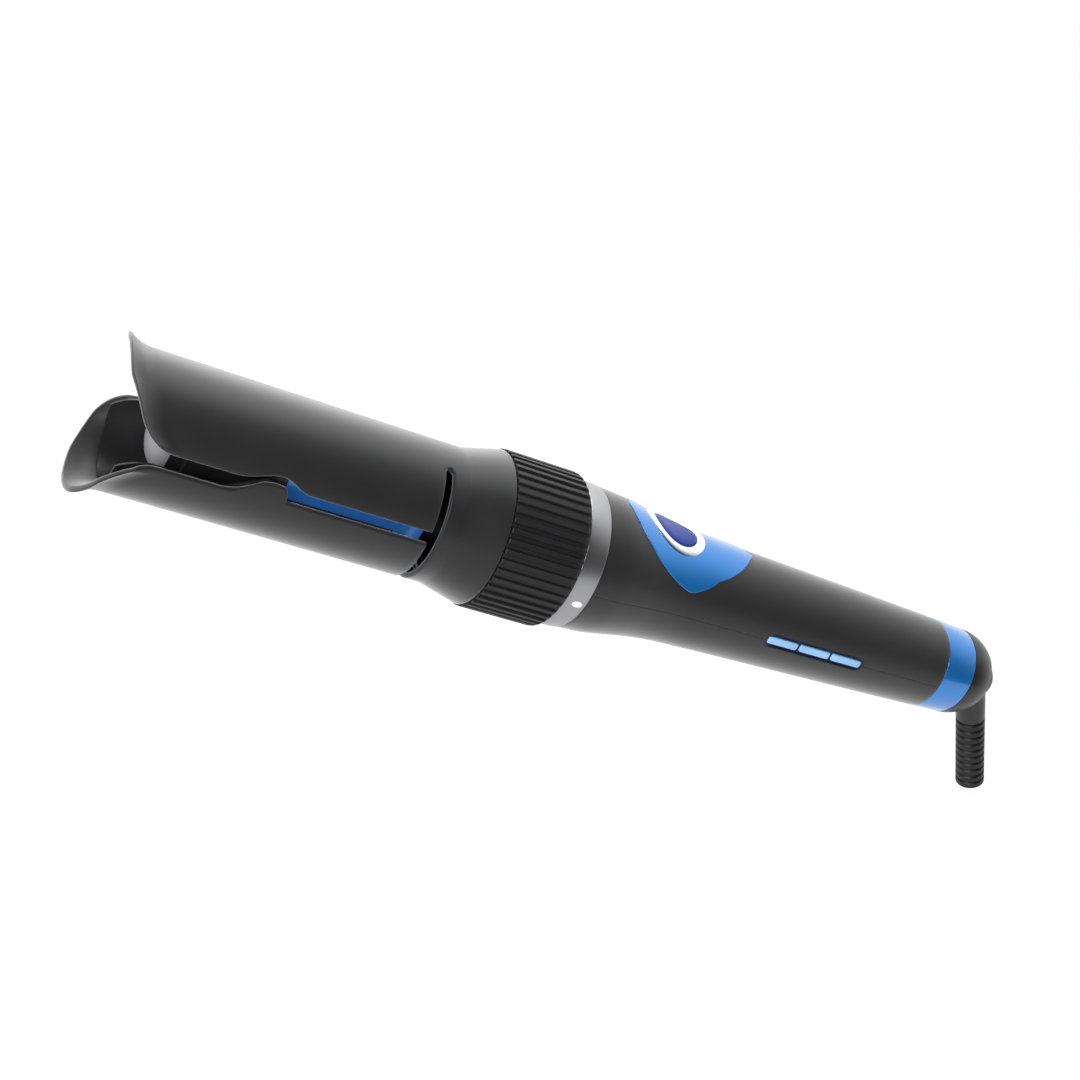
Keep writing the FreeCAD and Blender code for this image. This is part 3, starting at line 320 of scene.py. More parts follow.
def rounded_line(points: Sequence[tuple[float, float]], radius: float, closed: bool = True,
                 steps: int = 5) -> Array:
    """Round the corners of a line of straight runs with quadratic curves.

    Args:
        points: corners (a, b).
        radius: how far from its corner each curve starts.
        closed: whether the line returns to its first corner.
        steps: points on each curve.

    Returns:
        Points of the rounded line, shape (n, 2).
    """
    corners = np.asarray(points, float)
    before, after = np.roll(corners, 1, axis=0), np.roll(corners, -1, axis=0)
    reach_in = np.minimum(radius / (np.linalg.norm(before - corners, axis=1) + 1e-12), 0.49)[:, None]
    reach_out = np.minimum(radius / (np.linalg.norm(after - corners, axis=1) + 1e-12), 0.49)[:, None]
    start = corners + (before - corners) * reach_in
    end = corners + (after - corners) * reach_out
    if not closed:
        start[0] = end[0] = corners[0]
        start[-1] = end[-1] = corners[-1]
    t = np.linspace(0.0, 1.0, steps)[None, :, None]
    curve = (1 - t) ** 2 * start[:, None] + 2 * t * (1 - t) * corners[:, None] + t**2 * end[:, None]
    flat = curve.reshape(-1, 2)
    keep = np.linalg.norm(np.diff(flat, axis=0, prepend=flat[-1:] + 1.0), axis=1) > 1e-9
    return flat[keep]


def grid_faces(rows: int, cols: int, wrap_rows: bool, wrap_cols: bool, offset: int) -> Array:
    """Corner numbers of the quads of a grid of rows x cols points.

    Args:
        rows: number of rows.
        cols: number of points in a row.
        wrap_rows: whether the last row joins the first.
        wrap_cols: whether each row is a closed loop.
        offset: number of the grid's first point.

    Returns:
        Quads, shape (n, 4).
    """
    row = np.arange(rows if wrap_rows else rows - 1)[:, None]
    col = np.arange(cols if wrap_cols else cols - 1)[None, :]
    next_row, next_col = (row + 1) % rows, (col + 1) % cols
    quads = np.stack([row * cols + col, next_row * cols + col,
                      next_row * cols + next_col, row * cols + next_col], axis=-1)
    return quads.reshape(-1, 4) + offset


@dataclass
class Patch:
    """A grid of points of shape (rows, cols, 3), with the ways in which it closes on itself."""

    points: Array
    wrap_rows: bool = False
    wrap_cols: bool = False


def make_object(name: str, patches: Sequence[Patch], merge: float = 2e-6) -> Thing:
    """Join grids into one mesh object with outward normals.

    Args:
        name: the object's name.
        patches: the grids, whose shared borders hold equal points.
        merge: points nearer than this become one.

    Returns:
        The object, linked to the scene.
    """
    points, faces, count = [], [], 0
    for patch in patches:
        rows, cols = patch.points.shape[:2]
        points.append(patch.points.reshape(-1, 3))
        faces.append(grid_faces(rows, cols, patch.wrap_rows, patch.wrap_cols, count))
        count += rows * cols
    mesh = bpy.data.meshes.new(name)
    mesh.from_pydata(np.concatenate(points).tolist(), [], np.concatenate(faces).tolist())
    work = bmesh.new()
    work.from_mesh(mesh)
    bmesh.ops.remove_doubles(work, verts=work.verts, dist=merge)
    bmesh.ops.dissolve_degenerate(work, edges=work.edges, dist=1e-7)
    bmesh.ops.recalc_face_normals(work, faces=work.faces)
    work.to_mesh(mesh)
    work.free()
    thing = bpy.data.objects.new(name, mesh)
    bpy.context.scene.collection.objects.link(thing)
    return thing


def face_away(thing: Thing, inside: Callable[[Array], Array]) -> None:
    """Turn an open sheet's normals away from the nearest inner points.

    Args:
        thing: an object with an open mesh.
        inside: gives for face centres (n, 3) the points that they should face away from.
    """
    mesh = thing.data
    count = len(mesh.polygons)
    centres, normals = np.zeros(count * 3), np.zeros(count * 3)
    mesh.polygons.foreach_get("center", centres)
    mesh.polygons.foreach_get("normal", normals)
    centres, normals = centres.reshape(-1, 3), normals.reshape(-1, 3)
    if float(np.sum((centres - inside(centres)) * normals)) < 0.0:
        mesh.flip_normals()


def apply_modifiers(thing: Thing) -> None:
    """Replace an object's mesh by the result of its modifiers."""
    graph = bpy.context.evaluated_depsgraph_get()
    graph.update()
    mesh = bpy.data.meshes.new_from_object(thing.evaluated_get(graph))
    thing.modifiers.clear()
    thing.data = mesh


def thicken(thing: Thing, wall: float, edge: float, segments: int = 3) -> None:
    """Give an open sheet a wall on its inner side and round the wall's edges.

    Args:
        thing: object with an open sheet whose normals point outwards.
        wall: thickness in metres.
        edge: width of the rounding in metres.
        segments: faces across the rounding.
    """
    solid = thing.modifiers.new("wall", "SOLIDIFY")
    solid.thickness, solid.offset, solid.use_even_offset = wall, -1.0, False
    bevel = thing.modifiers.new("edge", "BEVEL")
    bevel.width, bevel.segments, bevel.limit_method = edge, segments, "ANGLE"
    bevel.angle_limit = math.radians(48.0)
    apply_modifiers(thing)


def add_wall(thing: Thing, inner: Callable[[Array], Array], edge: float, steps: int = 6) -> None:
    """Close an open sheet into a wall whose edges are half-round.

    Args:
        thing: object with an open sheet whose normals point outwards.
        inner: gives for points (n, 3) of the sheet the points of the wall's other side.
        edge: how far the rounded edge stands out beyond the sheet's border.
        steps: faces across the rounding.
    """
    mesh = thing.data
    count = len(mesh.vertices)
    outside = np.zeros(count * 3)
    mesh.vertices.foreach_get("co", outside)
    outside = outside.reshape(-1, 3)
    faces = [tuple(face.vertices) for face in mesh.polygons]
    normals = {index: np.array(face.normal) for index, face in enumerate(mesh.polygons)}
    sides = {(a, b): index for index, face in enumerate(faces) for a, b in zip(face, face[1:] + face[:1])}
    border = [(a, b, index) for (a, b), index in sides.items() if (b, a) not in sides]
    away = np.zeros((count, 3))
    for a, b, index in border:
        out = np.cross(outside[b] - outside[a], normals[index])
        away[[a, b]] += out / np.linalg.norm(out)
    rim = sorted({a for a, _, _ in border})
    place = {vertex: number for number, vertex in enumerate(rim)}
    away = away[rim] / np.linalg.norm(away[rim], axis=1, keepdims=True)
    inside = inner(outside)
    layers = [outside, inside]
    for step in range(1, steps):
        turn = math.pi * step / steps
        share = (1 - math.cos(turn)) / 2
        layers.append(outside[rim] * (1 - share) + inside[rim] * share + away * edge * math.sin(turn))

    def corner(vertex: int, step: int) -> int:
        """Number of the rim point of a border vertex, from the outer side (0) to the inner one."""
        if step in (0, steps):
            return vertex + (count if step else 0)
        return 2 * count + (step - 1) * len(rim) + place[vertex]

    skin = faces + [tuple(vertex + count for vertex in reversed(face)) for face in faces]
    skin += [(corner(b, step), corner(a, step), corner(a, step + 1), corner(b, step + 1))
             for a, b, _ in border for step in range(steps)]
    solid = bpy.data.meshes.new(thing.name)
    solid.from_pydata(np.concatenate(layers).tolist(), [], skin)
    thing.data = solid


def shade(thing: Thing, angle: float = 38.0) -> None:
    """Shade smoothly, with sharp edges above an angle in degrees."""
    mesh = thing.data
    mesh.polygons.foreach_set("use_smooth", np.ones(len(mesh.polygons), dtype=bool))
    mesh.set_sharp_from_angle(angle=math.radians(angle))
    mesh.update()


# --- the tool's coordinates ---


@dataclass
class Axis:
    """The tool's axis in the frame: where its lower lip starts and how high the axis lies."""

    lip: float
    level: float

    @classmethod
    def from_frame(cls) -> "Axis":
        """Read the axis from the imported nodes."""
        low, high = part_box("barrel")
        return cls(lip=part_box("lower_jaw")[0][0], level=(low[2] + high[2]) / 2)

    def place(self, x: Array, y: Array, z: Array) -> Array:
        """Points in the frame from tool coordinates, stacked on a last axis of three."""
        x, y, z = np.broadcast_arrays(x, y, z)
        return np.stack([x + self.lip, y, z + self.level], axis=-1)

    def station(self, node: str, side: int) -> float:
        """Distance along the axis of a node's front (0) or rear (1) from the lower lip."""
        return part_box(node)[side][0] - self.lip

    def span(self, node: str) -> tuple[float, float]:
        """Distances along the axis of a node's front and rear from the lower lip."""
        return self.station(node, 0), self.station(node, 1)

    def ring(self, x: Array, radius: Array, angle: Array) -> Array:
        """Points at a distance from the axis; angle is measured from +Z towards the keys' side."""
        return self.place(x, -radius * np.sin(angle), radius * np.cos(angle))

    def on_axis(self, points: Array) -> Array:
        """The nearest points of the axis."""
        inner = points.copy()
        inner[:, 1], inner[:, 2] = 0.0, self.level
        return inner


@dataclass
class Kit:
    """What every sub-assembly works with: the axis, the finishes and the count of its pieces."""

    axis: Axis
    palette: Palette
    segments: int = 192
    pieces: list[str] = field(default_factory=list)

    def add(self, thing: Thing, body: str, slot: str, *nodes: str,
            angle: float = 38.0) -> Thing:
        """Shade and dress a new piece and hand it to its body.

        Args:
            thing: the piece.
            body: the body that it rides on.
            slot: its finish.
            nodes: CAD nodes that it stands for.
            angle: edges sharper than this, in degrees, stay sharp.

        Returns:
            The piece.
        """
        shade(thing, angle)
        self.palette.dress(thing, slot)
        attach(thing, body)
        if nodes:
            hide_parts(*nodes)
        self.pieces.append(thing.name)
        return thing

    def turn(self, name: str, line: Array, body: str, slot: str, *nodes: str) -> None:
        """Add a piece that is a closed line of (x, radius) points, turned about the axis.

        Args:
            name: the piece's name.
            line: points of the line, shape (n, 2).
            body: the body that it rides on.
            slot: its finish.
            nodes: CAD nodes that it stands for.
        """
        points = self.axis.ring(line[:, :1], line[:, 1:], circle(self.segments))
        piece = make_object(name, [Patch(points, wrap_rows=True, wrap_cols=True)])
        self.add(piece, body, slot, *nodes)


# --- guard ---


@dataclass
class Guard:
    """Upper petal with its collar, lower petal, and the round edges of both."""

    kit: Kit
    sleeve_r: float = 24.4 * MM
    wall: float = 2.2 * MM
    flare: float = 3.2 * MM
    flare_length: float = 9.0 * MM
    flare_fade: tuple[float, float] = (72.0, 98.0)
    upper_setback: float = 4.2 * MM
    jaw_length: float = 114.7 * MM
    slit: float = 2.8 * MM
    slit_top: float = 22.3 * MM
    slot_top: float = 4.1 * MM
    slot_front: float = 1.8 * MM
    mouth_upper: float = 22.8 * MM
    mouth_lower: float = 22.0 * MM
    corner_run: float = 15.5 * MM
    corner_rise: float = 9.0 * MM
    lip_high: float = 24.8 * MM
    lip_low: float = 26.3 * MM
    nose_round: float = 1.6 * MM
    hump: Pairs = (
        (43.5, -1.8), (48.0, -0.5), (52.0, 1.9), (55.5, 4.3), (58.0, 4.8), (61.0, 4.75), (62.7, 4.1),
        (63.4, 2.4), (63.9, 0.3), (64.6, -0.3))
    notch: Pairs = (
        (46.0, 0.0), (49.0, 0.4), (53.0, 1.6), (57.0, 2.9), (60.0, 3.4), (62.5, 3.2), (65.0, 2.2),
        (68.0, 0.7), (70.5, 0.0))
    hump_span: tuple[float, ...] = (42.0 * MM, 62.0 * MM, 65.5 * MM)
    notch_span: tuple[float, ...] = (45.0 * MM, 71.0 * MM)
    collar_straight: float = 6.0 * MM
    collar_end_r: float = 28.3 * MM
    collar_power: float = 1.25
    edge: float = 0.45 * MM
    arm_half_width: float = 6.0 * MM
    arm_low: float = 19.2 * MM
    arm_high: float = 16.2 * MM
    arm_sink: float = 2.9 * MM
    arm_root: float = 12.0 * MM
    arm_step: float = 9.5 * MM
    arm_ramp: float = 1.0 * MM
    arm_heel: float = 1.6 * MM
    arm_round: float = 0.94
    arm_flat: float = 0.95
    hinge_back: float = 6.8 * MM
    hinge_drop: float = 17.5 * MM
    eye_r: float = 2.6 * MM

    def sleeve(self, x: Array, front: Array, depth: float = 0.0, share: Array = 1.0) -> Array:
        """Radius of a petal: a circle's arc at its lip, a plain sleeve, then the collar's soft cone.

        Args:
            x: stations.
            front: station of the petal's own edge.
            depth: how far inside the outer surface.
            share: how much of the flare is there.

        Returns:
            The radius at each station.
        """
        arc = (self.flare_length**2 + self.flare**2) / (2 * self.flare) + depth
        back = np.clip(front + self.flare_length - x, 0.0, self.flare_length)
        radius = self.sleeve_r - depth + share * (arc - np.sqrt(arc**2 - back**2))
        cone = self.jaw_length + self.slit + self.collar_straight
        end = self.kit.axis.station("upper_guard", 1)
        t = np.clip((x - cone) / (end - cone), 0.0, 1.0)
        rise = t**self.collar_power * (self.collar_power - (self.collar_power - 1.0) * t)
        return radius + (self.collar_end_r - self.sleeve_r) * rise

    def flared(self, x: Array, angle: Array, upper: bool, depth: float = 0.0) -> Array:
        """Radius of a petal whose flare follows its edge round the mouth and fades towards the slot.

        Args:
            x: stations.
            angle: angles from the petal's middle line.
            upper: whether it is the upper petal.
            depth: how far inside the outer surface.

        Returns:
            The radius at each place.
        """
        front, mouth = (self.upper_setback, self.mouth_upper) if upper else (0.0, self.mouth_lower)
        places = front + self.edge + np.linspace(0.0, mouth - self.corner_run / 2, 80)
        halves = np.maximum.accumulate(self.upper_edge(places) if upper else self.lower_edge(places))
        start = np.interp(np.abs(angle), halves, places) - self.edge
        t = np.clip((np.degrees(np.abs(angle)) - self.flare_fade[0])
                    / (self.flare_fade[1] - self.flare_fade[0]), 0.0, 1.0)
        return self.sleeve(x, start, depth, 1.0 - ease(t))

    def side_cut(self, x: Array, front: float, lip: float, end: float, level: float) -> Array:
        """Height of a mouth's side edge: a slanted run from the lip, then an arc into the slot.

        Args:
            x: stations.
            front: station of the lip.
            lip: height at the lip.
            end: station where the arc meets the slot.
            level: height of the slot's edge.

        Returns:
            The height at each station.
        """
        corner, knee = end - self.corner_run, level + self.corner_rise
        arc = (self.corner_run**2 + self.corner_rise**2) / (2 * self.corner_rise)
        back = np.clip(end - x, 0.0, self.corner_run)
        slant = lip + (knee - lip) * (x - front) / (corner - front)
        return np.where(x < corner, slant, level + arc - np.sqrt(arc**2 - back**2))

    def rounded(self, half: Array, x: Array, front: float) -> Array:
        """Half angle of a petal with its lip's corners rounded in plan."""
        nose = np.clip(1.0 - (x - front - self.edge) / self.nose_round, 0.0, 1.0)
        return half * np.sqrt(1.0 - nose**2)

    def upper_edge(self, x: Array) -> Array:
        """Half angle of the upper petal, from +Z to its edge, which arches over the hump."""
        end = self.upper_setback + self.mouth_upper
        level = self.side_cut(x, self.upper_setback, self.lip_high, end, self.slot_top)
        places, rises = np.array(self.notch).T * MM
        level = level + smooth_curve(x, places, rises) + self.edge
        half = np.arccos(np.clip(level / self.sleeve(x, self.upper_setback), -1.0, 1.0))
        return self.rounded(half, x, self.upper_setback)

    def lower_edge(self, x: Array) -> Array:
        """Half angle of the lower petal, from -Z to its edge: a slanted lip, the slot and its hump."""
        level = -self.side_cut(x, 0.0, self.lip_low, self.mouth_lower, self.slot_front)
        places, heights = np.array(self.hump).T * MM
        level = np.where(x > places[0], smooth_curve(x, places, heights), level) - self.edge
        half = np.arccos(np.clip(-level / self.sleeve(x, 0.0), -1.0, 1.0))
        return self.rounded(half, x, 0.0)

    def lip_stations(self, front: float) -> Array:
        """Stations of the first rows of a petal, close together where its lip is rounded."""
        turn = np.linspace(0.15, np.pi / 2, 9)
        return front + self.edge + self.nose_round * (1.0 - np.cos(turn))

    def build(self) -> None:
        """Make and dress the guard's pieces."""
        self.build_upper()
        self.build_lower()

    def build_upper(self) -> None:
        """Petal, bridge over the slit and collar, as three grids that share their borders."""
        axis, front = self.kit.axis, self.upper_setback
        rear, collar = self.jaw_length - self.edge, self.jaw_length + self.slit + self.edge
        end = axis.station("upper_guard", 1)
        middle, half_slit = (rear + collar) / 2, (collar - rear) / 2
        top = math.acos(self.slit_top / self.sleeve_r) - self.edge / self.sleeve_r
        neck_angle = top + half_slit / self.sleeve_r
        centre = np.linspace(-1.0, 1.0, 41)
        outer = np.linspace(0.0, 1.0, 45)[1:]
        split = neck_angle / float(self.upper_edge(np.array(rear)))
        share = np.concatenate([-(split + (1 - split) * outer)[::-1], centre * split,
                                split + (1 - split) * outer])
        stops = (front + self.mouth_upper, *self.notch_span, rear)
        x = runs(self.lip_stations(front), stops, (32, 14, 36, 30))
        turn = share[None, :] * self.upper_edge(x)
        petal = axis.ring(x, self.flared(x, turn, True), turn)
        x = (rear + half_slit * (1 - np.cos(np.linspace(0.0, np.pi, 15))))[:, None]
        bow = np.sqrt(np.clip(half_slit**2 - (x - middle) ** 2, 0.0, None)) / self.sleeve_r
        bridge = axis.ring(x, self.sleeve(x, front), centre[None, :] * (neck_angle - bow))
        x = np.linspace(collar, end - self.edge, 30)[:, None]
        rest = neck_angle + (np.pi - neck_angle) * outer
        turn = np.concatenate([-rest[::-1], centre * neck_angle, rest])[None, :]
        ring = axis.ring(x, self.sleeve(x, front), turn)
        piece = make_object("guard_upper", [Patch(petal), Patch(bridge), Patch(ring)])
        self.finish(piece, True)
        self.kit.add(piece, "handle", "soft_black", "upper_guard")

    def finish(self, piece: Thing, upper: bool) -> None:
        """Give a petal its wall, measured towards the axis, with rounded edges all round.

        Args:
            piece: the petal's outer surface.
            upper: whether it is the upper petal.
        """
        axis = self.kit.axis

        def inner(points: Array) -> Array:
            """Points of the wall's inner surface below points of the outer one."""
            x, up = points[:, 0] - axis.lip, (points[:, 2] - axis.level) * (1 if upper else -1)
            angle = np.arctan2(points[:, 1], up)
            ratio = 1.0 - self.wall / np.hypot(points[:, 1], up)
            flat = self.flared(x, angle, upper, self.wall) / self.flared(x, angle, upper)
            middle = axis.on_axis(points)
            return middle + (points - middle) * np.maximum(ratio, flat)[:, None]

        face_away(piece, axis.on_axis)
        add_wall(piece, inner, self.edge)

    def build_lower(self) -> None:
        """Lower petal as one grid, with the arm that reaches to the hinge pin."""
        axis = self.kit.axis
        stops = (self.mouth_lower, *self.hump_span, self.jaw_length - self.edge)
        x = runs(self.lip_stations(0.0), stops, (32, 14, 30, 16, 30))
        share = np.linspace(-1.0, 1.0, 121)[None, :]
        turn = share * self.lower_edge(x)
        points = axis.ring(x, self.flared(x, turn, False), np.pi + turn)
        piece = make_object("guard_lower", [Patch(points)])
        self.finish(piece, False)
        self.kit.add(piece, "jaw", "soft_black", "lower_jaw")
        self.build_arm()

    def build_arm(self) -> None:
        """The jaw's arm: a rounded bar, carried along the outline of a bar with a round eye."""
        axis = self.kit.axis
        root = self.jaw_length - self.arm_root
        hinge = self.jaw_length + self.hinge_back
        step, heel = root + self.arm_step, hinge - self.arm_heel
        sunk, low, high = -self.arm_low - self.arm_sink, -self.arm_low, -self.arm_high
        turn = np.linspace(-np.pi / 2, np.pi / 2, 15)
        eye = np.stack([hinge + self.eye_r * np.cos(turn), -self.hinge_drop + self.eye_r * np.sin(turn)], 1)
        line = np.concatenate([[[root, sunk], [step, sunk], [step + self.arm_ramp, low], [heel, low]],
                               eye, [[heel, high], [root, high]]])
        middle = line.mean(axis=0)
        shrink = np.array([0.0, self.arm_round, 1.0, 1.0, self.arm_round, 0.0])[:, None, None]
        side = np.array([-1.0, -1.0, -self.arm_flat, self.arm_flat, 1.0, 1.0])[:, None] * self.arm_half_width
        outline = middle + (line - middle)[None] * shrink
        points = axis.place(outline[..., 0], side, outline[..., 1])
        piece = make_object("jaw_arm", [Patch(points, wrap_cols=True)])
        self.kit.add(piece, "jaw", "soft_black")


# --- barrel ---


@dataclass
class Barrel:
    """The turning barrel with its domed nose."""

    kit: Kit
    radius: float = 15.0 * MM
    wall: float = 1.5 * MM
    nose_r: float = 13.0 * MM
    nose_length: float = 7.0 * MM
    blue_from: float = 65.0 * MM
    sleeve_wall: float = 0.12 * MM
    sleeve_lap: float = 0.6 * MM
    edge: float = 0.2 * MM
    nose_edge: float = 0.4 * MM
    plug_depth: float = 4.0 * MM
    core_r: float = 5.3 * MM
    nose_wall: float = 3.0 * MM

    def build(self) -> None:
        """Make the tube, black in front as painted shade for the slot ahead of the hump, blue behind, and
        the nose with its step.
        """
        axis = self.kit.axis
        front, rear = axis.span("barrel")
        tip = axis.station("barrel_tip", 0)
        shoulder, split = tip + self.nose_length, self.blue_from
        inner, cover = self.radius - self.wall, self.nose_r + self.sleeve_wall
        # The black front of the tube is painted shade: it darkens the barrel where it shows in the slot
        # ahead of the hump.
        black = [(shoulder, inner - self.sleeve_lap), (split, inner), (split, self.radius),
                 (front, self.radius), (front, cover), (shoulder, cover)]
        blue = [(split, inner), (rear, inner), (rear, self.radius), (split, self.radius)]
        self.kit.turn("barrel_front", rounded_line(black, self.edge), "rotor", "liner_black")
        self.kit.turn("barrel_tube", rounded_line(blue, self.edge), "rotor", "barrel_blue", "barrel")
        turn = np.linspace(0.0, np.pi / 2, 24)
        dome = np.stack([tip + self.nose_length * (1 - np.cos(turn)), self.nose_r * np.sin(turn)], 1)
        plug, wall = front + self.plug_depth, tip + self.nose_wall
        step = rounded_line([(shoulder, self.nose_r), (front, self.nose_r), (front, inner), (plug, inner)],
                            self.nose_edge, closed=False)
        line = np.concatenate([dome, step, [[plug, self.core_r], [wall, self.core_r], [wall, 0.0]]])
        self.kit.turn("barrel_nose", line, "rotor", "tip_grey", "barrel_tip")


# --- ring and band ---


@dataclass
class Neck:
    """The ribbed twist ring, the satin band behind it and its index mark."""

    kit: Kit
    ring_r: float = 28.68 * MM
    ring_bore: float = 24.3 * MM
    ribs: int = 48
    rib_depth: float = 0.95 * MM
    rib_share: float = 0.6
    rib_ramp: float = 0.16
    rib_round: float = 1.6 * MM
    front_round: float = 0.5 * MM
    groove_fade: float = 0.8
    band_front_r: float = 27.0 * MM
    band_rear_r: float = 26.5 * MM
    band_bore: float = 24.0 * MM
    band_edge: float = 0.45 * MM
    mark_angle: float = 101.0
    mark_setback: float = 5.0 * MM
    mark_long: float = 2.0 * MM
    mark_short: float = 1.35 * MM
    mark_sink: float = 0.18 * MM
    mark_crown: float = 0.22 * MM
    mark_root: float = 0.8 * MM

    def build(self) -> None:
        """Make and dress the ring, the band and the mark."""
        self.build_ring()
        self.build_band()
        self.build_mark()

    def build_ring(self) -> None:
        """Ribbed ring: the radius dips between the ribs and falls away over both ends."""
        axis = self.kit.axis
        front, rear = axis.span("twist_ring")
        count = self.ribs * 16
        angle = circle(count)
        phase = np.abs(((angle * self.ribs / (2 * np.pi)) % 1.0) - 0.5) * 2
        crest = ease(np.clip((phase - (1 - self.rib_share)) / self.rib_ramp, 0.0, 1.0))
        turn, flat, nose = np.linspace(0.0, np.pi / 2, 8), 12, self.front_round
        tail = self.rib_round
        middle = np.linspace(front + 1 * MM, rear - 2 * MM, flat)
        x = np.concatenate([front + nose * (1 - np.cos(turn)), middle, rear - tail + tail * np.sin(turn)])
        fall = np.concatenate([nose * (1 - np.sin(turn)), np.zeros(flat), tail * (1 - np.cos(turn))])
        shell = self.ring_r - fall[:, None]
        groove = np.clip(self.rib_depth - fall[:, None] * self.groove_fade, 0.0, None)
        outer = axis.ring(x[:, None], shell - groove * (1 - crest), angle)
        inner_x = np.array([rear, front])[:, None]
        inner = axis.ring(inner_x, np.full_like(inner_x, self.ring_bore), angle)
        piece = make_object("ribbed_ring", [Patch(np.concatenate([outer, inner]), True, True)])
        self.kit.add(piece, "ring", "ring_rubber", "twist_ring", angle=50.0)

    def build_band(self) -> None:
        """Satin band: a slightly conical ring with broken edges."""
        axis = self.kit.axis
        front, rear = axis.span("accent_band")
        line = rounded_line([(front, self.band_bore), (rear, self.band_bore), (rear, self.band_rear_r),
                             (front, self.band_front_r)], self.band_edge)
        self.kit.turn("satin_band", line, "handle", "satin_silver", "accent_band")

    def build_mark(self) -> None:
        """Index mark: a domed oval, its height falling as the square of the distance to its rim."""
        axis = self.kit.axis
        share = np.linspace(0.0, 1.0, 8)[:, None]
        turn = circle(48)
        station = axis.station("accent_band", 0) + self.mark_setback
        x = station + self.mark_long * share * np.cos(turn)
        across = self.mark_short * share * np.sin(turn)
        radius = self.band_front_r - self.mark_sink + self.mark_crown * (1 - share**2)
        angle = math.radians(self.mark_angle) + across / self.band_front_r
        points = axis.ring(x, radius, angle)
        base = axis.ring(x[-1:], radius[-1:] - self.mark_root, angle[-1:])
        centre = np.broadcast_to(base.mean(axis=1, keepdims=True), base.shape)
        piece = make_object("index_mark", [Patch(np.concatenate([points, base, centre]), wrap_cols=True)])
        self.kit.add(piece, "handle", "white_mark", "index_dot")


# --- handle ---


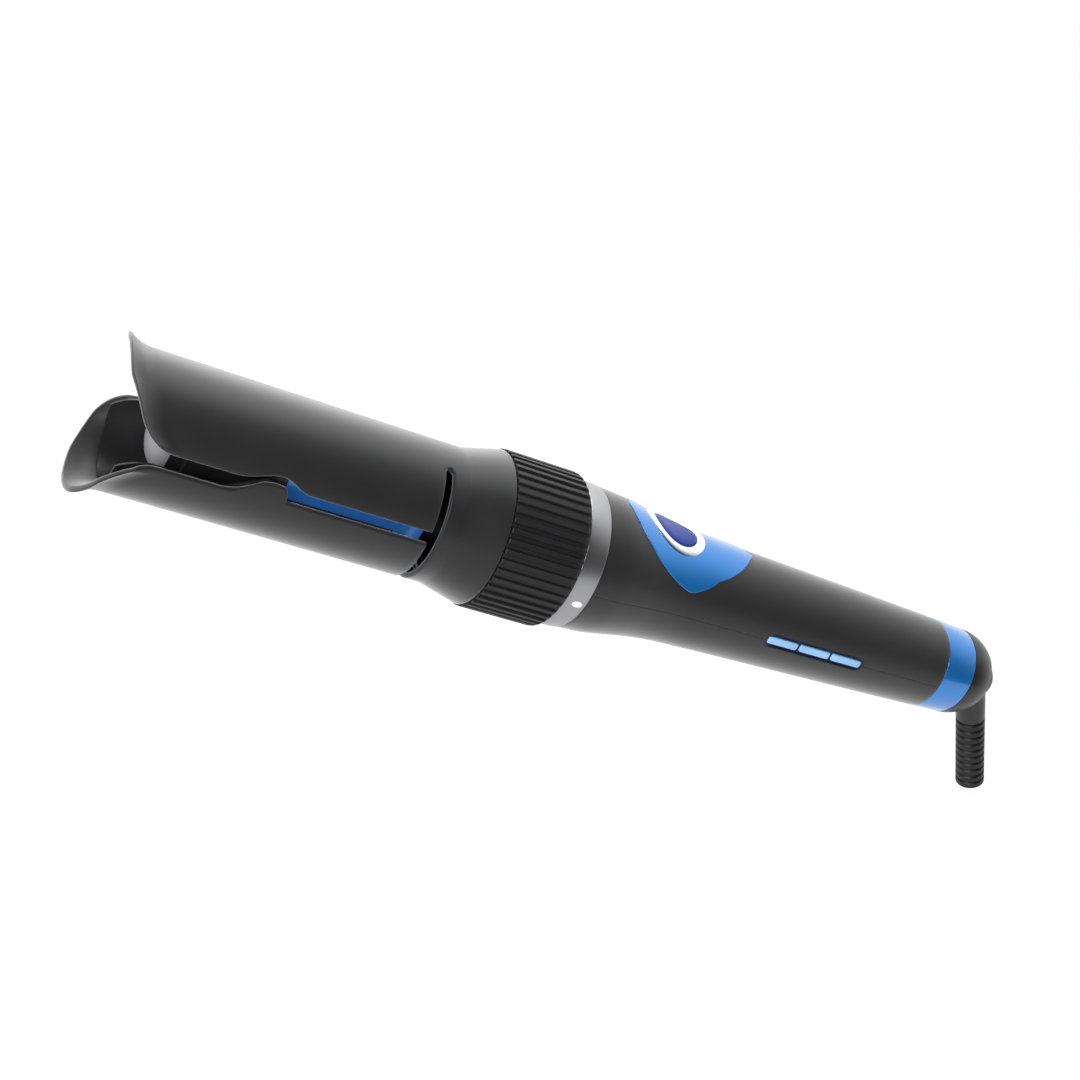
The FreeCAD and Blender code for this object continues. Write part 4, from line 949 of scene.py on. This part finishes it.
@dataclass
class Handle:
    """The two shells, the shield panel with its button, and the side keys."""

    kit: Kit
    profile_x: tuple[float, ...] = (0.0, 10.5, 18.5, 27.5, 36.5, 54.5, 82.5, 120.5, 160.8)
    profile_r: tuple[float, ...] = (26.3, 25.75, 24.5, 23.0, 22.0, 21.2, 20.3, 19.15, 17.8)
    wall: float = 2.0 * MM
    seam: float = 0.12 * MM
    keys_place: float = 99.5 * MM
    keys_length: float = 46.0 * MM
    keys_height: float = 5.4 * MM
    key_pitch: float = 15.0 * MM
    key_length: float = 13.9 * MM
    key_height: float = 2.9 * MM
    start_place: float = 31.5 * MM
    start_r: float = 9.0 * MM
    bezel_r: float = 12.8 * MM
    gap: float = 0.3 * MM
    panel_proud: float = 0.35 * MM
    panel_wall: float = 1.0 * MM
    bezel_proud: float = 0.6 * MM
    bezel_sink: float = 0.25 * MM
    bezel_root: float = 0.2 * MM
    start_proud: float = 0.3 * MM
    start_round: float = 0.5 * MM
    start_flat: float = 0.9
    dish: float = 0.35 * MM
    dish_share: float = 0.75
    skirt: float = 2.2 * MM
    shield_round: float = 2.2 * MM
    panel_edge: float = 0.22 * MM
    shell_edge: float = 0.28 * MM
    cutter_reach: tuple[float, float] = (10.0 * MM, 35.0 * MM)
    key_flat: float = 0.82
    key_round: float = 0.45 * MM
    key_skirt: float = 2.6 * MM
    key_corner: float = 0.32
    tray: Pairs = (
        (0.0, -0.9), (0.5, -0.9), (0.78, -0.9), (0.86, -0.8), (0.93, -0.3), (1.0, -0.05), (1.0, -1.8),
        (0.0, -1.8))
    shield: Pairs = (
        (10.3, 0.0), (11.2, 6.0), (14.2, 11.5), (20.4, 16.9), (27.2, 19.2), (35.0, 20.2), (39.6, 20.3),
        (47.5, 17.6), (66.2, 1.2), (66.6, 0.0))

    @property
    def front(self) -> float:
        """Station of the handle's front edge."""
        return self.kit.axis.station("handle_upper_shell", 0)

    @property
    def rear(self) -> float:
        """Station of the handle's rear edge."""
        return self.kit.axis.station("handle_upper_shell", 1)

    def radius(self, x: Array) -> Array:
        """Outer radius along the handle: shoulder, waist and a long taper."""
        return smooth_curve(x - self.front, np.array(self.profile_x) * MM, np.array(self.profile_r) * MM)

    def build(self) -> None:
        """Make and dress the handle's pieces."""
        self.build_shell(1)
        self.build_shell(-1)
        self.build_panel()
        self.build_bezel()
        self.build_start()
        self.build_keys()

    def recess(self, x: Array) -> Array:
        """Half height of the round-ended key recess at a station, zero outside it."""
        middle = self.front + self.keys_place
        end = self.keys_height / 2
        over = np.clip(np.abs(x - middle) - (self.keys_length / 2 - end), 0.0, None)
        return np.sqrt(np.clip(end**2 - over**2, 0.0, None))

    def build_shell(self, side: int) -> None:
        """One half shell; its edge on the keys' side steps round their recess.

        Args:
            side: 1 for the upper shell, -1 for the lower one.
        """
        axis = self.kit.axis
        middle, reach = self.front + self.keys_place, self.keys_length / 2
        end = self.keys_height / 2
        turn = np.linspace(0.0, np.pi / 2, 10)
        left = middle - reach + end * (1 - np.cos(turn))
        right = middle + reach - end * (1 - np.cos(turn[::-1]))
        x = np.unique(np.concatenate([np.linspace(self.front, left[0], 60), left,
                                      np.linspace(left[-1], right[0], 12), right,
                                      np.linspace(right[-1], self.rear, 24)]))[:, None]
        radius = self.radius(x)
        near = np.arccos((self.seam + self.recess(x)) / radius)
        far = -np.arccos(self.seam / radius)
        share = np.linspace(0.0, 1.0, 121)[None, :]
        angle = near + (far - near) * share
        if side < 0:
            angle = np.pi - angle
        name = "shell_upper" if side > 0 else "shell_lower"
        piece = make_object(name, [Patch(axis.ring(x, radius, angle))])
        face_away(piece, axis.on_axis)
        thicken(piece, self.wall, self.shell_edge)
        if side > 0:
            self.bore(piece, self.start_r + self.gap)
        self.kit.add(piece, "handle", "soft_black",
                     "handle_upper_shell" if side > 0 else "handle_lower_shell")

    def bore(self, piece: Thing, radius: float) -> None:
        """Cut the start button's round hole through a shell, straight down.

        Args:
            piece: the shell.
            radius: the hole's radius.
        """
        turn = circle(64)
        share = np.array([0.0, 1.0, 1.0, 0.0])[:, None]
        level = np.repeat(self.cutter_reach, 2)[:, None]
        centre = self.front + self.start_place
        away = radius * share
        points = self.kit.axis.place(centre + away * np.cos(turn), away * np.sin(turn), level)
        cutter = make_object("start_cutter", [Patch(points, wrap_cols=True)])
        cut = piece.modifiers.new("start", "BOOLEAN")
        cut.operation, cut.solver, cut.object = "DIFFERENCE", "EXACT", cutter
        apply_modifiers(piece)
        bpy.data.objects.remove(cutter)

    def shield_radius(self, turn: Array) -> Array:
        """Distance of the shield's outline from the button's centre in each direction."""
        half = np.asarray(self.shield) * MM
        whole = np.concatenate([half, (half[1:-1] * (1, -1))[::-1]])
        line = rounded_line([tuple(p) for p in whole], self.shield_round)
        away = line - (self.start_place, 0.0)
        angle = np.arctan2(away[:, 1], away[:, 0])
        order = np.argsort(angle)
        return np.interp(turn, angle[order], np.hypot(away[:, 0], away[:, 1])[order], period=2 * np.pi)

    def disc(self, away: Array, turn: Array, lift: Array) -> Array:
        """Points about the button's centre, laid on the handle's top.

        Args:
            away: distances from the centre in plan.
            turn: angles in plan.
            lift: heights above the handle's surface.

        Returns:
            The points.
        """
        x, y = self.front + self.start_place + away * np.cos(turn), away * np.sin(turn)
        radius = self.radius(x) + lift
        return self.kit.axis.place(x, y, np.sqrt(np.clip(radius**2 - y**2, 0.0, None)))

    def build_panel(self) -> None:
        """Shield panel: a grid between the button's hole and the outline, laid on the handle."""
        turn = np.linspace(-np.pi, np.pi, 241)[:-1][None, :]
        inner = self.start_r + self.gap
        share = np.linspace(0.0, 1.0, 40)[:, None]
        away = inner + (self.shield_radius(turn) - inner) * share
        points = self.disc(away, turn, np.full_like(away, self.panel_proud))
        piece = make_object("shield", [Patch(points, wrap_cols=True)])
        face_away(piece, self.kit.axis.on_axis)
        thicken(piece, self.panel_wall, self.panel_edge)
        self.kit.add(piece, "handle", "metallic_blue", "shield_panel")

    def build_bezel(self) -> None:
        """Bezel: a ring whose crown is half an ellipse, laid over the panel like a saddle."""
        turn = circle(144)
        sweep = np.linspace(0.0, np.pi, 15)[:, None]
        inner, outer = self.start_r + self.gap, self.bezel_r
        away = (inner + outer) / 2 - (outer - inner) / 2 * np.cos(sweep) + 0 * turn
        lift = self.panel_proud - self.bezel_sink + (self.bezel_proud + self.bezel_sink) * np.sin(sweep)
        base = np.array([[outer, inner]]).T + 0 * turn
        away = np.concatenate([away, base])
        lift = np.concatenate([lift + 0 * turn, np.full_like(base, -self.bezel_root)])
        points = self.disc(away, turn, lift)
        piece = make_object("start_ring", [Patch(points, wrap_rows=True, wrap_cols=True)])
        self.kit.add(piece, "handle", "bright_chrome", "start_bezel")

    def build_start(self) -> None:
        """Start button: a dished cap with a rounded rim, following the handle's curve."""
        turn, rim, flat = circle(96), np.linspace(0.1, np.pi / 2, 7), 16
        share = np.concatenate([np.linspace(0.0, self.start_flat, flat),
                                self.start_flat + (1.0 - self.start_flat) * np.sin(rim)])
        fall = np.concatenate([np.zeros(flat), self.start_round * (1 - np.cos(rim))])[:, None]
        away = self.start_r * share[:, None] + 0 * turn
        dish = self.dish * (1 - np.clip(share / self.dish_share, 0, 1) ** 2)[:, None]
        lift = self.panel_proud + self.start_proud - fall - dish + 0 * turn
        away = np.concatenate([away, away[-1:], 0 * away[:1]])
        lift = np.concatenate([lift, lift[-1:] - self.skirt, lift[:1] - self.skirt])
        piece = make_object("start_cap", [Patch(self.disc(away, turn, lift), wrap_cols=True)])
        self.kit.add(piece, "start", "deep_blue", "start_button")

    def inset(self, name: str, middle: float, line: Array, rows: Array, *rest: str) -> None:
        """Add a piece on the handle's side: an outline scaled about its centre, row by row.

        Args:
            name: the piece's name.
            middle: station of its centre.
            line: its outline, shape (n, 2).
            rows: scale of the outline and height above the handle's surface, shape (n, 2).
            rest: its body, finish and CAD node.
        """
        share, lift = rows[:, :1], rows[:, 1:]
        x, z = middle + share * line[None, :, 0], share * line[None, :, 1]
        radius = self.radius(x) + lift
        points = self.kit.axis.place(x, -np.sqrt(np.clip(radius**2 - z**2, 0.0, None)), z)
        self.kit.add(make_object(name, [Patch(points, wrap_cols=True)]), *rest)

    def build_keys(self) -> None:
        """The sunk frame and its three keys."""
        middle = self.front + self.keys_place
        self.inset("key_tray", middle, self.stadium(self.keys_length, self.keys_height),
                   np.array(self.tray) * (1.0, MM), "handle", "navy_frame", "key_frame")
        for body, step in (("key_front", -1), ("key_middle", 0), ("key_rear", 1)):
            self.build_key(body, middle + step * self.key_pitch)

    def build_key(self, body: str, middle: float) -> None:
        """One key: a rounded plate with a soft crown.

        Args:
            body: the key's body, which also names its node.
            middle: station of the key's centre.
        """
        rim, flat = np.linspace(0.2, np.pi / 2, 6), 6
        share = np.concatenate([np.linspace(0.0, self.key_flat, flat),
                                self.key_flat + (1.0 - self.key_flat) * np.sin(rim), [1.0, 0.0]])
        fall = np.concatenate([np.zeros(flat), self.key_round * (1 - np.cos(rim)), [self.key_skirt] * 2])
        self.inset(body + "_cap", middle, self.plate(self.key_length, self.key_height),
                   np.stack([share, -fall], 1), body, "key_blue", "side_" + body)

    @staticmethod
    def stadium(length: float, height: float) -> Array:
        """A round-ended outline about its centre, shape (n, 2)."""
        turn = np.linspace(-np.pi / 2, np.pi / 2, 17)
        half, end = (length - height) / 2, height / 2
        right = np.stack([half + end * np.cos(turn), end * np.sin(turn)], 1)
        top = np.stack([np.linspace(half, -half, 12)[1:-1], np.full(10, end)], 1)
        whole = np.concatenate([right, top])
        return np.concatenate([whole, -whole])

    def plate(self, length: float, height: float) -> Array:
        """A rectangle with rounded corners about its centre, shape (n, 2)."""
        half, up = length / 2, height / 2
        corners = [(-half, -up), (half, -up), (half, up), (-half, up)]
        return rounded_line(corners, height * self.key_corner, steps=6)


# --- tail ---


@dataclass
class Tail:
    """Rear band, end cap, swivel elbow and ribbed boot."""

    kit: Kit
    tail_r: float = 17.8 * MM
    band_r: float = 17.3 * MM
    wall: float = 1.8 * MM
    cap_end_r: float = 13.2 * MM
    bore: float = 5.6 * MM
    ball_r: float = 8.7 * MM
    ball_place: float = 1.0 * MM
    boot_angle: float = 55.5
    boot_r: float = 5.9 * MM
    boot_neck: float = 21.0 * MM
    boot_ribs: int = 10
    boot_pitch: float = 3.5 * MM
    boot_bore: float = 3.3 * MM
    rib_depth: float = 0.95 * MM
    rib_share: float = 0.2
    rib_power: float = 0.7
    band_edge: float = 0.45 * MM
    play: float = 0.3 * MM
    neck_bore: float = 3.7 * MM
    neck_edge: float = 0.2 * MM
    neck_flare: float = 0.9 * MM
    neck_reach: tuple[float, float] = (1.4 * MM, 4.0 * MM)

    @property
    def pivot(self) -> float:
        """Station of the swivel's centre."""
        return self.kit.axis.station("end_cap", 1) + self.ball_place

    def build(self) -> None:
        """Make and dress the tail's pieces."""
        axis = self.kit.axis
        front, rear = axis.span("rear_band")
        line = rounded_line([(front, self.tail_r - self.wall), (rear, self.band_r - self.wall),
                             (rear, self.band_r), (front, self.tail_r)], self.band_edge)
        self.kit.turn("blue_band", line, "handle", "metallic_blue", "rear_band")
        self.build_cap()
        self.build_elbow()
        self.build_boot()

    def build_cap(self) -> None:
        """End cap: a quarter-round dome with a conical mouth and a ball socket."""
        axis = self.kit.axis
        front, rear = axis.span("end_cap")
        length = rear - front
        drop = self.band_r - self.cap_end_r
        arc = (length**2 + drop**2) / (2 * drop)
        x = np.linspace(front, rear, 24)
        outer = np.stack([x, self.band_r - arc + np.sqrt(arc**2 - (x - front) ** 2)], 1)
        clear = self.ball_r + self.play
        mouth = rear - (self.cap_end_r - self.bore) / math.tan(math.radians(self.boot_angle))
        turn = np.linspace(math.acos(np.clip((self.pivot - mouth) / clear, -1, 1)) + 0.1, 0.75, 12)
        socket = np.stack([self.pivot - clear * np.cos(turn), clear * np.sin(turn)], 1)
        line = np.concatenate([outer, socket[socket[:, 1] > self.bore], [[front, self.bore]]])
        self.kit.turn("dome_cap", line, "handle", "liner_black", "end_cap")

    def hang(self, name: str, line: Array, slot: str, node: str, segments: int, wrap: bool) -> None:
        """Add a piece turned about the boot's own axis, which hangs from the swivel's centre.

        Args:
            name: the piece's name.
            line: (distance along the boot's axis, radius), shape (n, 2).
            slot: its finish.
            node: the CAD node that it stands for.
            segments: steps round the axis.
            wrap: whether the line returns to its first point.
        """
        tilt = math.radians(self.boot_angle)
        along, turn = line[:, :1], circle(segments)
        across, up = line[:, 1:] * np.sin(turn), line[:, 1:] * np.cos(turn)
        x = self.pivot + along * math.cos(tilt) + up * math.sin(tilt)
        z = -along * math.sin(tilt) + up * math.cos(tilt)
        piece = make_object(name, [Patch(self.kit.axis.place(x, across, z), wrap, True)])
        self.kit.add(piece, "swivel", slot, node)

    def build_elbow(self) -> None:
        """Swivel elbow: a ball that flows into the boot's neck; the journal stays inside the cap."""
        blend = math.asin((self.boot_r + self.neck_flare) / self.ball_r)
        sweep = np.linspace(np.pi, blend, 40)
        ball = np.stack([self.ball_r * np.cos(sweep), self.ball_r * np.sin(sweep)], 1)
        start = ball[-1]
        t = np.linspace(0.0, 1.0, 10)[1:, None]
        corner = np.array([start[0] + self.neck_reach[0], self.boot_r])
        end = np.array([start[0] + self.neck_reach[1], self.boot_r])
        fillet = (1 - t) ** 2 * start + 2 * t * (1 - t) * corner + t**2 * end
        neck, edge, root = self.boot_neck, self.neck_edge, self.ball_r * 0.2
        rest = np.array([[neck - edge, self.boot_r], [neck, self.boot_r - edge], [neck, self.neck_bore],
                         [root, self.neck_bore], [root, 0.0]])
        line = np.concatenate([ball, fillet, rest])
        self.hang("swivel_ball", line, "liner_black", "swivel_elbow", 96, False)

    def build_boot(self) -> None:
        """Boot: a tube whose wall swells into rounded ribs at an even pitch."""
        length = self.boot_ribs * self.boot_pitch
        along = np.linspace(0.0, length, self.boot_ribs * 14 + 1)
        phase = (along / self.boot_pitch) % 1.0
        dip = np.clip(1 - np.abs(phase - self.rib_share) / self.rib_share, 0.0, 1.0)
        outer = self.boot_r - self.rib_depth * ease(dip) ** self.rib_power
        end, bevel = self.boot_neck + length, self.play
        back = np.array([[end, self.boot_bore + bevel], [end - bevel, self.boot_bore],
                         [self.boot_neck, self.boot_bore]])
        line = np.concatenate([np.stack([self.boot_neck + along, outer], 1), back])
        self.hang("ribbed_boot", line, "boot_rubber", "strain_relief", 72, True)


# --- studio ---


@dataclass
class Studio:
    """Camera, lamps, world and floor."""

    axis: Axis
    lens: float = 57.1
    aim: float = 139.5 * MM
    offset: tuple[float, float, float] = (-0.23164, -0.49882, 0.24003)
    forward: tuple[float, float, float] = (0.4195, 0.8192, -0.391)
    upward: tuple[float, float, float] = (-0.2657, 0.5227, 0.81)
    sweep: tuple[float, float, float] = (0.3, 0.75, 0.25)
    fade: tuple[float, float] = (-0.25, 0.75)
    strength: tuple[float, float] = (0.06, 1.3)
    floor_reach: float = 30.0
    floor_glow: float = 1.04
    floor_share: float = 0.9

    def build(self) -> None:
        """Set up the scene round the object."""
        self.build_camera()
        self.build_world()
        self.build_floor()
        self.build_lamps()

    def build_camera(self) -> None:
        """Camera at the viewing angle, rolled so that the tool slopes down to the right."""
        target = Vector((self.aim + self.axis.lip, 0.0, self.axis.level))
        back = -Vector(self.forward).normalized()
        up = Vector(self.upward)
        up = (up - back * up.dot(back)).normalized()
        right = up.cross(back)
        turn = Matrix((right, up, back)).transposed().to_4x4()
        camera = bpy.data.objects.new("camera", bpy.data.cameras.new("camera"))
        camera.data.lens = self.lens
        camera.data.clip_start, camera.data.clip_end = 0.01, 100.0
        camera.matrix_world = Matrix.Translation(target + Vector(self.offset)) @ turn
        bpy.context.scene.collection.objects.link(camera)
        bpy.context.scene.camera = camera

    def build_world(self) -> None:
        """White to the camera; in reflections a white sweep behind and a dim room in front."""
        world = bpy.data.worlds.new("studio")
        bpy.context.scene.world = world
        world.use_nodes = True
        graph = Graph(world.node_tree)
        background = graph.tree.nodes["Background"]
        graph.fill(background, {"Color": (1.0, 1.0, 1.0, 1.0)})
        place = graph.add("ShaderNodeTexCoord")
        facing = graph.add("ShaderNodeVectorMath", {1: Vector(self.sweep).normalized()},
                           operation="DOT_PRODUCT")
        graph.join(place.outputs["Generated"], facing.inputs[0])
        fade = graph.add("ShaderNodeMapRange",
                         {"From Min": self.fade[0], "From Max": self.fade[1],
                          "To Min": self.strength[0], "To Max": self.strength[1]},
                         interpolation_type="SMOOTHSTEP")
        graph.join(facing.outputs["Value"], fade.inputs["Value"])
        path = graph.add("ShaderNodeLightPath")
        choose = graph.add("ShaderNodeMix", {"B": 1.0})
        graph.join(path.outputs["Is Camera Ray"], choose.inputs["Factor"])
        graph.join(fade.outputs["Result"], choose.inputs["A"])
        graph.join(choose.outputs["Result"], background.inputs["Strength"])

    def build_floor(self) -> None:
        """A white floor that keeps a soft shadow: partly lit, partly as bright as the background."""
        mesh = bpy.data.meshes.new("floor")
        reach = self.floor_reach
        mesh.from_pydata([(-reach, -reach, 0), (reach, -reach, 0), (reach, reach, 0), (-reach, reach, 0)],
                         [], [(0, 1, 2, 3)])
        floor = bpy.data.objects.new("floor", mesh)
        bpy.context.scene.collection.objects.link(floor)
        material = bpy.data.materials.new("floor_white")
        material.use_nodes = True
        graph = Graph(material.node_tree)
        shader = graph.tree.nodes["Principled BSDF"]
        graph.fill(shader, {"Base Color": (0.9, 0.9, 0.9, 1.0), "Roughness": 0.9})
        glow = graph.add("ShaderNodeEmission", {"Strength": self.floor_glow})
        mix = graph.add("ShaderNodeMixShader", {"Fac": self.floor_share})
        graph.join(shader.outputs["BSDF"], mix.inputs[1])
        graph.join(glow.outputs["Emission"], mix.inputs[2])
        graph.join(mix.outputs["Shader"], graph.tree.nodes["Material Output"].inputs["Surface"])
        floor.data.materials.append(material)

    def lamp(self, name: str, place: tuple[float, float, float], size: tuple[float, float], power: float,
             glossy: bool) -> None:
        """Add a soft box that faces the tool.

        Args:
            name: the lamp's name.
            place: where it stands, from the middle of the tool's axis.
            size: its width and height in metres.
            power: its power in watts.
            glossy: whether it shows in reflections.
        """
        data = bpy.data.lights.new(name, "AREA")
        data.shape, data.size, data.size_y, data.energy = "RECTANGLE", size[0], size[1], power
        thing = bpy.data.objects.new(name, data)
        middle = Vector((0.0, 0.0, self.axis.level))
        thing.location = middle + Vector(place)
        thing.rotation_mode = "QUATERNION"
        thing.rotation_quaternion = (middle - thing.location).to_track_quat("-Z", "X")
        thing.visible_glossy = glossy
        bpy.context.scene.collection.objects.link(thing)

    def build_lamps(self) -> None:
        """A long box above and behind, a faint fill in front, and a box that lights the open mouth."""
        self.lamp("top_box", (0.0, 0.5, 0.6), (1.4, 0.5), 5.0, True)
        self.lamp("front_box", (-0.5, -0.9, 0.5), (0.8, 0.8), 1.5, False)
        self.lamp("mouth_box", (-1.0, -0.75, 0.4), (0.8, 0.8), 16.0, True)


# --- main ---


def dress_nodes(frame: dict, palette: Palette) -> None:
    """Give every CAD node the finish that its record names.

    Args:
        frame: the loaded frame.
        palette: the finishes.
    """
    slots = {part["node"]: part["material_slot"] for part in frame["record"]["subparts"]}
    for name, node in frame["nodes"].items():
        palette.dress(node, slots[name])


def corners(bounds: tuple[Vector, Vector]) -> list[list[float]]:
    """A box's corners as plain lists."""
    return [[round(c, 6) for c in corner] for corner in bounds]


def main() -> None:
    """Load the frame, build every sub-assembly and the studio, and log each piece's face count."""
    logging.basicConfig(level=logging.INFO, format="%(name)s: %(message)s")
    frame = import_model()
    kit = Kit(Axis.from_frame(), Palette())
    dress_nodes(frame, kit.palette)
    Studio(kit.axis).build()
    for assembly in (Guard(kit), Barrel(kit), Neck(kit), Handle(kit), Tail(kit)):
        count = len(kit.pieces)
        assembly.build()
        for name in kit.pieces[count:]:
            LOG.info("%s: %s, %d faces", type(assembly).__name__, name,
                     len(bpy.data.objects[name].data.polygons))
    bpy.context.scene.view_settings.view_transform = "Standard"


if __name__ == "__main__":
    main()
